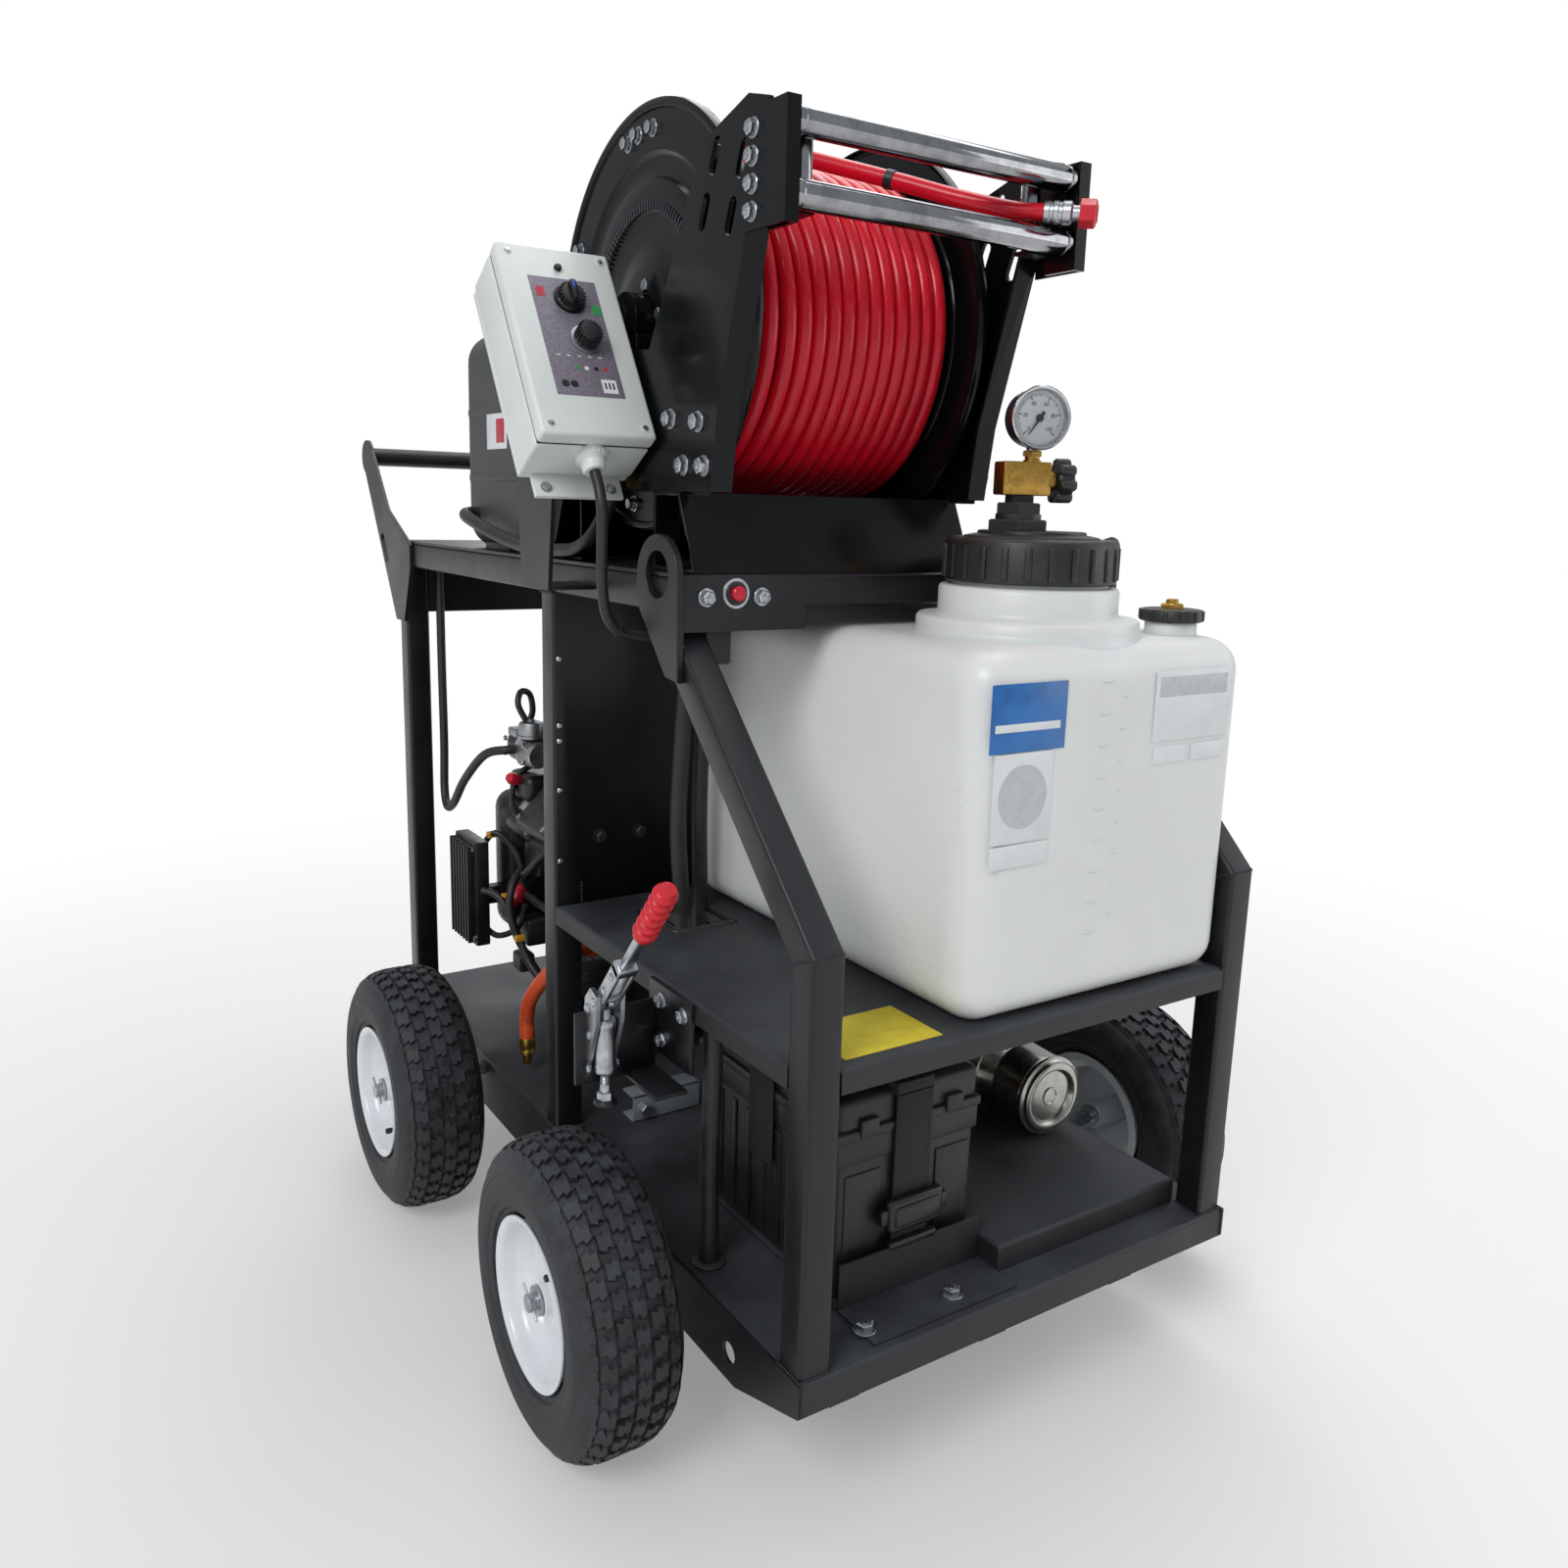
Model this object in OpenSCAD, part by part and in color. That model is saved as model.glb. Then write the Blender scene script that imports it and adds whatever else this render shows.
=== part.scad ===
// Commercial pressure washer cart: welded frame, water tank, engine and pump,
// hose reel with roller guide, control box, battery, four pneumatic wheels.
// Millimetres. +Z is up, the tank is at the front (-Y), the push handle at the rear (+Y).
// Origin: on the ground, centred under the machine's box.

/* [Frame] */
// Width over the deck
frame_w = 640; // [620:1:700]
// Length of the deck
frame_len = 1244; // [1220:1:1300]
// Outer size of the square tube
tube = 38; // [34:0.5:42]
// Wall of the square tube
tube_wall = 3; // [2:0.25:4]
// Sheet thickness of deck, shelf and platform
sheet = 4; // [3:0.25:5]
// Height of the deck's top face
deck_top = 193; // [185:1:205]
// Depth of the deck's side plates
side_drop = 78; // [70:1:85]
// Depth of the deck's front lip
lip_drop = 36; // [30:1:40]
// Height of the tank shelf's top face
shelf_top = 514; // [495:1:520]
// Depth of the shelf's folded lip
shelf_lip = 25; // [20:1:30]
// Height of the platform's top face
plat_top = 966; // [955:1:985]
// Setback of the platform's front flange
plat_front = 262; // [255:1:270]
// Height of the front posts at the mitre
leg_top = 632; // [615:1:640]
// Distance of the middle posts from the front
mid_y = 598; // [592:1:620]

/* [Wheels] */
// Tyre diameter
tyre_d = 350; // [340:1:352]
// Tyre section width
tyre_w = 122; // [116:1:126]
// Rim flange diameter
rim_d = 190; // [170:1:200]
// Distance between left and right wheel centres
track = 860; // [850:1:900]
// Distance of the front axle from the front
front_axle = 285; // [275:1:292]
// Distance of the rear axle from the front
rear_axle = 874; // [860:1:900]
// Axle diameter
axle_d = 20; // [16:0.5:24]
// Length of the wheel hub
hub_len = 84; // [70:1:96]

/* [Tank] */
// Tank width
tank_w = 398; // [380:1:400]
// Tank depth
tank_l = 575; // [555:1:578]
// Tank height
tank_h = 392; // [376:1:394]
// Corner radius of the tank
tank_r = 38; // [25:1:45]
// Tank wall
tank_wall = 6; // [4:0.5:8]
// Outer diameter of the ring lid
lid_d = 196; // [190:1:198]
// Height of the ring lid
lid_h = 48; // [40:1:52]
// Rise of the neck from the tank's top to the ring lid
neck_up = 56; // [48:1:58]
// Vent cap diameter
vent_d = 74; // [64:1:80]

/* [Reel] */
// Outer diameter of the reel discs
disc_d = 466; // [450:1:468]
// Distance between the outer faces of the reel arms
reel_w = 371; // [365:1:380]
// Height of the reel shaft above the platform
shaft_up = 271; // [268:1:276]
// Distance of the reel shaft from the front
shaft_y = 456; // [450:1:462]
// Diameter of the reel shaft
shaft_d = 38; // [30:1:42]
// Diameter of the hose winding
coil_d = 380; // [360:1:390]
// Outer diameter of the pressure hose
hose_d = 18; // [16:0.5:18.5]
// Loops in the outer layer of hose
loops = 14; // [10:1:14]
// Diameter of the guide rollers
roller_d = 27; // [22:0.5:30]
// Distance between the guide roller axes
roller_gap = 62; // [60:1:66]

/* [Controls] */
// Control box width
box_w = 132; // [120:1:134]
// Control box depth
box_d = 88; // [80:1:92]
// Control box height along its face
box_h = 240; // [225:1:245]
// Backward tilt of the control box
box_tilt = 32; // [28:1:34]
// Gauge diameter
gauge_d = 68; // [60:1:72]
// Push handle tube diameter
grip_d = 30; // [25:1:32]

/* [Power] */
// Battery box width
batt_w = 190; // [180:1:194]
// Battery box length
batt_l = 285; // [270:1:295]
// Battery box height with its lid
batt_h = 238; // [225:1:245]
// Muffler diameter
muffler_d = 104; // [90:1:106]
// Muffler length
muffler_l = 240; // [210:1:250]

/* [Hidden] */
$fn = 48;
// Play of a running fit, per side
run = 0.05;
// Gap between neighbouring pieces
gap = 0.3;
// How far the push handle reaches past the deck
handle_reach = 176;
y0 = -(frame_len + handle_reach) / 2;
fx = frame_w / 2;
px = fx - 4;
axle_z = tyre_d / 2;
rear_y = frame_len - tube;
rail_z = plat_top - sheet - tube;
shaft_z = plat_top + shaft_up;
reel_x0 = -293;
reel_x1 = reel_x0 + reel_w;
disc_x0 = reel_x0 + 37;
disc_x1 = reel_x1 - 37;
coil_r = coil_d / 2 - hose_d / 2;
coil_pitch = hose_d + 0.8;
coil_x0 = (disc_x0 + disc_x1) / 2 - coil_pitch * loops / 2;
roll_y = 132;
roll_z = plat_top + 350;
roll_x0 = reel_x0 + 12;
roll_x1 = reel_x1 - 12;
post_in = 29;
tank_x1 = px - tube - 1;
tank_x0 = tank_x1 - tank_w;
tank_y0 = 9;
tank_z1 = shelf_top + tank_h;
neck_x = 68;
neck_y = 156;
neck_r = lid_d / 2 - 12;
ring_z = tank_z1 + neck_up + gap;
dome_z = ring_z + lid_h - 10;
port_x = neck_x - 22;
port_z = dome_z + 56;
vent_x = 228;
vent_y = 86;
box_x = -430;
box_y = 352;
box_z = plat_top + 139;
rail_box_z = deck_top + 33;
batt_x = -214;
batt_y = 92;
clamp_x = -392;
clamp_y = 285;
clamp_z = axle_z * 2 + 150;
eng_x = -10;
eng_y = 790;
eng_z = rail_box_z;
crank_z = 392;
feed_x = tank_x0 - 67;
back_x = tank_x0 - 31;
hole_x = -px + 26;
port_y = 474;

// Shift from the deck's front edge to the origin
module put() {
  translate([0, y0, 0]) children();
}

// Plate drawn in Y and Z, from x to x + t
module yz(x, t) {
  translate([x, 0, 0]) rotate([90, 0, 90]) linear_extrude(t) children();
}

module rsq(w, h, r) {
  square([w - 2 * r, h], center = true);
  square([w, h - 2 * r], center = true);
  for (sx = [-1, 1], sy = [-1, 1])
    translate([sx * (w / 2 - r), sy * (h / 2 - r)]) circle(r);
}

// Box rounded on every edge, from its low corner
module rbox(s, r) {
  translate(s / 2) intersection() {
    linear_extrude(s[2], center = true) rsq(s[0], s[1], r);
    rotate([90, 0, 0]) linear_extrude(s[1], center = true) rsq(s[0], s[2], r);
    rotate([90, 0, 90]) linear_extrude(s[0], center = true) rsq(s[1], s[2], r);
  }
}

// Square tube standing up, from z0 to z1, low corner at x, y
module post(x, y, z0, z1) {
  difference() {
    translate([x, y, z0]) cube([tube, tube, z1 - z0]);
    translate([x + tube_wall, y + tube_wall, z0 - 1])
      cube([tube - 2 * tube_wall, tube - 2 * tube_wall, z1 - z0 + 2]);
  }
}

// Cylinder along X, from x0 to x1
module xcyl(x0, x1, y, z, r) {
  translate([x0, y, z]) rotate([0, 90, 0]) cylinder(h = x1 - x0, r = r);
}

// Cylinder along Y, from y0 to y1
module ycyl(x, a, b, z, r) {
  translate([x, b, z]) rotate([90, 0, 0]) cylinder(h = b - a, r = r);
}

module hex(af, h) {
  cylinder(h = h, r = af / sqrt(3), $fn = 6);
}

// Swept tube: rings across a route of points, closed at both ends
function unit(v) = v / norm(v);
function tang(p, i) = unit(p[min(i + 1, len(p) - 1)] - p[max(i - 1, 0)]);
function side(t, u) = unit(u - (u * t) * t);
function frames(p, i, u) = i == len(p) ? [] :
  let (t = tang(p, i), s = side(t, u)) concat([[t, s, cross(t, s)]], frames(p, i + 1, s));
module sweep(p, r, n, u) {
  f = frames(p, 0, u);
  m = len(p);
  pts = [for (i = [0 : m - 1], k = [0 : n - 1])
    p[i] + r * cos(360 * k / n) * f[i][1] + r * sin(360 * k / n) * f[i][2]];
  walls = [for (i = [0 : m - 2], k = [0 : n - 1]) each [
    [i * n + k, (i + 1) * n + k, (i + 1) * n + (k + 1) % n],
    [i * n + k, (i + 1) * n + (k + 1) % n, i * n + (k + 1) % n]]];
  caps = [for (k = [1 : n - 2]) each [
    [0, k, k + 1],
    [(m - 1) * n, (m - 1) * n + k + 1, (m - 1) * n + k]]];
  polyhedron(points = pts, faces = concat(walls, caps));
}

// Smooth route through a few points, s steps a stretch
function cr(a, b, c, d, t) = 0.5 * (2 * b + (c - a) * t + (2 * a - 5 * b + 4 * c - d) * t * t
  + (3 * b - a - 3 * c + d) * t * t * t);
function smooth(p, s) = [for (i = [0 : len(p) - 2], k = [0 : s - 1])
    cr(p[max(i - 1, 0)], p[i], p[i + 1], p[min(i + 2, len(p) - 1)], k / s), p[len(p) - 1]];

// ---- Frame ----
module deck() {
  color("#232426") put() difference() {
    union() {
      translate([-px, 0, deck_top - sheet]) cube([2 * px, frame_len, sheet]);
      translate([-px, 0, deck_top - lip_drop]) cube([2 * px, sheet, lip_drop - sheet]);
      translate([-px, frame_len - sheet, deck_top - lip_drop]) cube([2 * px, sheet, lip_drop - sheet]);
    }
    translate([hole_x, 228, deck_top - sheet - 1]) cylinder(h = sheet + 2, r = 14);
  }
}

module deck_side(s) {
  color("#232426") put() difference() {
    yz(s > 0 ? px : -fx, fx - px) polygon([[0, deck_top - lip_drop], [120, deck_top - side_drop],
      [frame_len - 60, deck_top - side_drop], [frame_len, deck_top - lip_drop],
      [frame_len, deck_top], [0, deck_top]]);
    xcyl(-frame_w, frame_w, 132, deck_top - 44, 12);
    xcyl(-frame_w, frame_w, frame_len - 100, deck_top - 44, 12);
    xcyl(-frame_w, frame_w, front_axle, axle_z, axle_d / 2 + gap);
    xcyl(-frame_w, frame_w, rear_axle, axle_z, axle_d / 2 + gap);
  }
}
module deck_side_left() { deck_side(-1); }
module deck_side_right() { deck_side(1); }

// Front post and its brace, one mitred tube that rises at 45 degrees
module leg(s) {
  a = 5;
  b = a + tube;
  w = tube_wall;
  t = sin(22.5) / cos(22.5);
  rise = rail_z - leg_top;
  zin = leg_top - tube * t;
  color("#1d1e20") put() difference() {
    yz(s > 0 ? px - tube : -px, tube) polygon([[a, deck_top], [a, leg_top], [a + rise, rail_z],
      [b + rail_z - zin, rail_z], [b, zin], [b, deck_top]]);
    yz(s > 0 ? px - tube + w : -px + w, tube - 2 * w) polygon([[a + w, deck_top - 1],
      [a + w, leg_top - w * t], [a + w + rise + w * t + 1, rail_z + 1],
      [b - w + rail_z - zin - w * t + 1, rail_z + 1], [b - w, zin + w * t], [b - w, deck_top - 1]]);
  }
}
module leg_front_left() { leg(-1); }
module leg_front_right() { leg(1); }

// Middle posts with the divider panel welded between them
module mid_frame() {
  color("#1b1c1e") put() {
    for (x = [-px, px - tube]) post(x, mid_y, deck_top, rail_z);
    translate([-px + tube, mid_y, shelf_top - shelf_lip]) cube([2 * (px - tube), 3, rail_z - shelf_top + shelf_lip]);
    translate([-px + tube, mid_y + tube - 3, shelf_top]) cube([2 * (px - tube), 3, tube]);
  }
}

module post_rear_left() {
  color("#1d1e20") put() post(-px, rear_y, deck_top, rail_z);
}
module post_rear_right() {
  color("#1d1e20") put() post(px - tube, rear_y, deck_top, rail_z);
}

module top_rail(s) {
  w = tube_wall;
  color("#1d1e20") put() difference() {
    translate([s > 0 ? px - tube : -px, plat_front + sheet, rail_z]) cube([tube, frame_len - plat_front - sheet, tube]);
    translate([s > 0 ? px - tube + w : -px + w, plat_front, rail_z + w])
      cube([tube - 2 * w, frame_len, tube - 2 * w]);
  }
}
module top_rail_left() { top_rail(-1); }
module top_rail_right() { top_rail(1); }

// Top sheet with its front flange, notched over the tank, and the rear cross beam
module platform() {
  flange = 60;
  color("#26272a") put() {
    difference() {
      union() {
        translate([-px, plat_front, plat_top - sheet]) cube([2 * px, frame_len - plat_front, sheet]);
        translate([-px, plat_front, plat_top - flange]) cube([2 * px, sheet, flange - sheet]);
      }
      translate([-162, plat_front - 1, plat_top - flange - 1]) cube([162 + px + 1, sheet + 2, 27]);
      translate([-251, plat_front - 1, plat_top - 20]) rotate([-90, 0, 0]) cylinder(h = sheet + 2, r = 8.3);
    }
    difference() {
      translate([-px + tube, rear_y, rail_z - 76]) cube([2 * (px - tube), tube, 76 + tube]);
      translate([-px + tube - 1, rear_y + 3, rail_z - 73]) cube([2 * px, tube - 6, 70 + tube]);
    }
  }
}

// Tank shelf: a folded sheet between the legs, cut out for the hoses
module shelf() {
  y1 = mid_y;
  color("#232426") put() difference() {
    translate([-px, 5, shelf_top - shelf_lip]) cube([2 * px, y1 - 5, shelf_lip]);
    translate([-px + sheet, 5 + sheet, shelf_top - shelf_lip - 1])
      cube([2 * (px - sheet), y1 - 5 - 2 * sheet, shelf_lip - sheet + 1]);
    for (x = [-px - 1, px - tube])
      translate([x, 4, shelf_top - shelf_lip - 1]) cube([tube + 1, tube + 1, shelf_lip + 2]);
    translate([feed_x - 44, port_y - 44, shelf_top - sheet - 1]) cube([96, 100, sheet + 2]);
  }
}

module eye_plate(s) {
  t = 8;
  color("#2b2c2e") put() difference() {
    yz(s > 0 ? px : -px - t, t) {
      translate([304, plat_top - 6]) circle(46);
      polygon([[258, plat_top - 6], [256, rail_z - 70], [284, rail_z - 66], [350, rail_z + 8], [350, plat_top - 6]]);
    }
    xcyl(-frame_w, frame_w, 304, plat_top - 2, 25);
  }
}
module eye_plate_left() { eye_plate(-1); }
module eye_plate_right() { eye_plate(1); }

// Two side plates and the tube between them
module push_handle() {
  t = 6;
  ye = frame_len + handle_reach;
  color("#202124") put() {
    for (x = [-px - t, px]) difference() {
      yz(x, t) {
        polygon([[frame_len - 42, rail_z - 90], [frame_len, rail_z - 90], [ye - 2, rail_z + 176],
          [ye - 28, rail_z + 206], [ye - 58, rail_z + 186], [ye - 140, rail_z + 90], [frame_len - 82, rail_z + tube - 2],
          [frame_len - 82, rail_z]]);
        translate([ye - 28, rail_z + 178]) circle(28);
      }
      translate([x - 1, frame_len + 56, rail_z + 26]) rotate([-34, 0, 0]) {
        translate([0, -8, -20]) cube([t + 2, 16, 40]);
        for (z = [-20, 20]) translate([0, 0, z]) rotate([0, 90, 0]) cylinder(h = t + 2, r = 8);
      }
    }
    difference() {
      xcyl(-px, px, ye - 28, rail_z + 178, grip_d / 2);
      xcyl(-px - 1, px + 1, ye - 28, rail_z + 178, grip_d / 2 - 2.5);
    }
  }
}

// ---- Wheels ----
// Axle with a stop washer inside and outside each hub
module axle(y) {
  hub = hub_len / 2 + gap;
  x1 = track / 2;
  color("#8d8f92") put() {
    xcyl(-x1 - hub - 14, x1 + hub + 14, y, axle_z, axle_d / 2);
    for (s = [-1, 1], a = [-hub - 4, hub])
      xcyl(s > 0 ? x1 + a : -x1 - a - 4, s > 0 ? x1 + a + 4 : -x1 - a, y, axle_z, axle_d / 2 + 7);
  }
}
module axle_front() { axle(front_axle); }
module axle_rear() { axle(rear_axle); }

// Tyre section: rounded tread, bulged walls, bead on the rim
module tyre(x, y) {
  ro = tyre_d / 2;
  w = tyre_w / 2;
  ri = rim_d / 2 - 8;
  rf = rim_d / 2;
  half = [[ri + gap, 22 - w], [rf + 3, 9 - w], [rf + 16, 2 - w], [ro - 46, -w], [ro - 28, 3 - w],
    [ro - 14, 10 - w], [ro - 5, 21 - w], [ro, 36 - w]];
  prof = concat(half, [for (i = [len(half) - 1 : -1 : 0]) [half[i][0], -half[i][1]]]);
  color("#1a1a1b") put() translate([x, y, axle_z]) rotate([0, 90, 0])
    rotate_extrude($fn = 96) polygon(prof);
}
module tyre_front_left() { tyre(-track / 2, front_axle); }
module tyre_front_right() { tyre(track / 2, front_axle); }
module tyre_rear_left() { tyre(-track / 2, rear_axle); }
module tyre_rear_right() { tyre(track / 2, rear_axle); }

// Pressed rim: flanges, drop centre, dished web and the hub sleeve
module rim(x, y, s) {
  w = tyre_w / 2 - 5;
  r = rim_d / 2;
  b = r - 8;
  hr = axle_d / 2 + 8;
  color("#eef0f1") put() translate([x, y, axle_z]) rotate([0, s * 90, 0]) {
    rotate_extrude($fn = 96) polygon([[b - 3, -w], [r, -w], [r, -w + 3], [b, -w + 4], [b, -w + 16],
      [b - 14, -w + 24], [b - 14, w - 30], [b, w - 20], [b, w - 4], [r, w - 3], [r, w], [b - 3, w],
      [b - 3, w - 18], [b - 17, w - 30], [b - 19, w - 34], [hr + 16, w - 26], [hr, w - 22], [hr, w - 26],
      [hr + 16, w - 30], [b - 17, w - 38], [b - 17, -w + 23], [b - 3, -w + 15]]);
    difference() {
      translate([0, 0, -hub_len / 2]) cylinder(h = hub_len, r = hr);
      translate([0, 0, -hub_len / 2 - 1]) cylinder(h = hub_len + 2, r = axle_d / 2 + run);
    }
    translate([b - 26, 0, w - 32]) cylinder(h = 22, r = 4);
  }
}
module rim_front_left() { rim(-track / 2, front_axle, -1); }
module rim_front_right() { rim(track / 2, front_axle, 1); }
module rim_rear_left() { rim(-track / 2, rear_axle, -1); }
module rim_rear_right() { rim(track / 2, rear_axle, 1); }

// ---- Tank ----
// Blow-moulded tank, open at its neck
module tank() {
  s = [tank_w, tank_l, tank_h];
  w = tank_wall;
  color("#eceae0", 0.92) put() difference() {
    union() {
      translate([tank_x0, tank_y0, shelf_top]) rbox(s, tank_r);
      translate([neck_x, neck_y, tank_z1 - 6]) {
        cylinder(h = 25, r = neck_r + 38);
        cylinder(h = neck_up + 2, r = neck_r + 14);
        cylinder(h = neck_up + lid_h - 4, r = neck_r);
      }
      translate([vent_x, vent_y, tank_z1 - 6]) cylinder(h = 20, r = vent_d / 2 - 8);
    }
    translate([tank_x0 + w, tank_y0 + w, shelf_top + w]) rbox(s - 2 * [w, w, w], tank_r - w);
    translate([neck_x, neck_y, tank_z1 - w - 8]) cylinder(h = neck_up + lid_h + 40, r = neck_r - w);
    translate([vent_x, vent_y, tank_z1 - w - 8]) cylinder(h = 100, r = vent_d / 2 - 8 - w);
  }
}

// Screw ring with grip ribs, round the neck and over the dome's rim
module lid_ring() {
  r = lid_d / 2;
  color("#141517") put() translate([neck_x, neck_y, ring_z]) {
    rotate_extrude($fn = 96) polygon([[neck_r + gap, 0], [r - 3, 0], [r - 3, lid_h - 4], [r - 7, lid_h],
      [neck_r - 8, lid_h], [neck_r - 8, lid_h - 5], [neck_r + gap, lid_h - 5]]);
    for (i = [0 : 23]) rotate(i * 15) translate([r - 6, -3, 4]) cube([6, 6, lid_h - 12]);
  }
}

// Lid dome with its threaded adapters
module lid_dome() {
  color("#17181a") put() {
    translate([neck_x, neck_y, dome_z]) rotate_extrude($fn = 96) polygon([[0, 0], [neck_r - 1, 0],
      [neck_r - 1, 4.7], [neck_r - 9, 4.7], [neck_r - 9, 11], [neck_r - 20, 14], [60, 15], [60, 18], [0, 18]]);
    translate([port_x, neck_y, dome_z + 18]) {
      hex(62, 12);
      translate([0, 0, 12]) cylinder(h = 6, r = 25);
      translate([0, 0, 18]) hex(46, 12);
      translate([0, 0, 30]) cylinder(h = port_z - dome_z - 48, r = 16);
    }
  }
}

// Brass block on the adapter; its own axes are turned 20 degrees
gauge_x = 12;
gauge_z = 48 + gauge_d / 2;
module on_port() {
  put() translate([port_x, neck_y, port_z]) rotate(-20) children();
}
module manifold() {
  color("#b58a3c") on_port() {
    translate([-26, -15, 0]) cube([56, 30, 36]);
    translate([gauge_x, 0, 36]) cylinder(h = 6, r = 8);
    translate([gauge_x, 0, 42]) hex(20, 6);
    xcyl(30, 38, 0, 16, 11);
    xcyl(38, 54, 0, 16, 6);
  }
}
module valve_knob() {
  color("#1a1a1c") on_port() difference() {
    union() {
      xcyl(39, 57, 0, 16, 19);
      for (i = [0 : 6]) translate([39, 0, 16]) rotate([i * 360 / 7, 0, 0]) translate([0, 19, 0])
        rotate([0, 90, 0]) cylinder(h = 18, r = 6);
    }
    xcyl(38, 55, 0, 16, 6 + run);
  }
}
module gauge() {
  r = gauge_d / 2;
  color("#35373a") on_port() difference() {
    union() {
      ycyl(gauge_x, -16, 12, gauge_z, r - 3);
      ycyl(gauge_x, -20, -14, gauge_z, r);
      translate([gauge_x, 0, 48]) cylinder(h = 8, r = 7);
    }
    ycyl(gauge_x, -21, -12, gauge_z, r - 5);
  }
}
module gauge_needle() {
  color("#111214") on_port() {
    ycyl(gauge_x, -16, -12 - gap, gauge_z, 4);
    translate([gauge_x, -15.5, gauge_z]) rotate([0, 215, 0]) translate([-1.2, 0, -8]) cube([2.4, 1.2, gauge_d / 2 - 4]);
  }
}

module vent_cap() {
  z = tank_z1 + 14 + gap;
  color("#141517") put() translate([vent_x, vent_y, z]) {
    difference() {
      cylinder(h = 14, r = vent_d / 2);
      translate([0, 0, -1]) cylinder(h = 3, r = 10);
    }
    for (i = [0 : 11]) rotate(i * 30) translate([vent_d / 2 - 1.5, -3, 1]) cube([3, 6, 12]);
    translate([0, 0, 14]) hex(24, 6);
    translate([0, 0, 20]) cylinder(h = 5, r = 7);
  }
}

// ---- Battery ----
module battery() {
  z = deck_top + 3;
  body = batt_h - 52;
  color("#1b1c1e") put() {
    translate([batt_x, batt_y, z]) difference() {
      cube([batt_w, batt_l, body]);
      translate([4, 4, 4]) cube([batt_w - 8, batt_l - 8, body]);
    }
    translate([batt_x + 10, batt_y + 10, z + 4]) cube([batt_w - 20, batt_l - 20, body - 16]);
    translate([batt_x - 5, batt_y - 5, z + body]) difference() {
      rbox([batt_w + 10, batt_l + 10, 52], 8);
      translate([8, 8, -1]) cube([batt_w - 6, batt_l - 6, 47]);
    }
    translate([batt_x - 5, batt_y + batt_l / 2 - 25, z + body + 52]) cube([batt_w + 10, 50, 3]);
    translate([batt_x + batt_w / 2 - 25, batt_y - 9, z + 8]) cube([50, 4, body + 40]);
    translate([batt_x + batt_w / 2 - 32, batt_y - 20, z + 66]) rbox([64, 11, 30], 3);
  }
}

// Sheet tray under the battery and the folded riser beside it
module battery_tray() {
  t = 3;
  x0 = batt_x - 4;
  x1 = batt_x + batt_w + 4;
  color("#2a2b2e") put() {
    translate([x0, 12, deck_top]) cube([x1 - x0, batt_y - 12 - gap, t]);
    translate([x0, batt_y - 16, deck_top + t]) cube([x1 - x0, t, 52]);
    translate([x0, batt_y - gap, deck_top]) cube([x1 - x0, batt_l + 8, t - gap]);
    translate([x0 + 14, batt_y + batt_l + 2, deck_top + t - gap]) cube([x1 - x0 - 28, t, 40]);
    difference() {
      translate([x1 + gap, 44, deck_top]) cube([px - tube - 4 - x1, mid_y - 44 - 4, rail_box_z - deck_top]);
      translate([x1 + gap + t, 44 + t, deck_top - 1])
        cube([px - tube - 4 - x1 - 2 * t, mid_y - 48 - 2 * t, rail_box_z - deck_top - t + 1]);
    }
  }
}

// ---- Engine and pump ----
module fins(n, pitch, s) {
  for (i = [0 : n - 1]) translate([0, 0, i * pitch]) translate([-s[0] / 2, -s[1] / 2, 0]) cube(s);
}
module engine() {
  color("#1c1d1f") put() {
    translate([eng_x - 105, eng_y - 40, deck_top]) difference() {
      cube([210, 330, eng_z - deck_top]);
      translate([4, -1, -1]) cube([202, 332, eng_z - deck_top - 3]);
    }
    translate([eng_x - 120, eng_y, eng_z]) rbox([240, 250, 230], 22);
    ycyl(eng_x, eng_y + 250, eng_y + 262, crank_z, 150);
    ycyl(eng_x, eng_y + 262, eng_y + 330, crank_z, 165);
    ycyl(eng_x, eng_y + 330, eng_y + 345, crank_z, 120);
    for (s = [-1, 1]) translate([eng_x, eng_y + 125 + s * 26, crank_z]) rotate([0, s * 45, 0])
      translate([0, 0, 118]) {
        translate([0, 0, -40]) cylinder(h = 150, r = 46);
        for (i = [0 : 7]) translate([-62, -66, 4 + i * 13]) cube([124, 132, 4]);
        translate([-56, -60, 110]) rbox([112, 120, 38], 8);
      }
    for (s = [-1, 1]) translate([eng_x, eng_y + 160, crank_z]) rotate([0, s * 45, 0])
      translate([-60, 0, 96]) rbox([120, 106, 138], 16);
    translate([eng_x - 120, eng_y + 40, crank_z + 208]) rbox([240, 190, 96], 24);
    translate([eng_x - 40, eng_y + 60, crank_z + 60]) cube([80, 130, 148]);
    xcyl(eng_x - 178, eng_x - 118, eng_y + 60, eng_z + 60, 38);
    ycyl(eng_x, eng_y - 92, eng_y, crank_z, 70);
    ycyl(eng_x, eng_y - 96, eng_y - 92, crank_z, 88);
  }
}

// Silver throttle body and regulator on the left bank
module engine_intake() {
  color("#a9abad") put() {
    translate([eng_x - 215, eng_y + 130, crank_z + 238]) rbox([95 - gap, 90, 44], 10);
    translate([eng_x - 196, eng_y + 154, crank_z + 282]) cylinder(h = 26, r = 20);
    ycyl(eng_x - 190, eng_y + 80, eng_y + 130, crank_z + 258, 19);
    translate([eng_x - 262, eng_y + 236, crank_z - 78]) cube([24, 96, 176]);
    for (i = [0 : 6]) translate([eng_x - 274, eng_y + 242 + i * 13, crank_z - 72]) cube([12, 5, 164]);
    translate([eng_x - 238, eng_y + 270, crank_z - 20]) cube([72.7, 24, 30]);
  }
}

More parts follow.
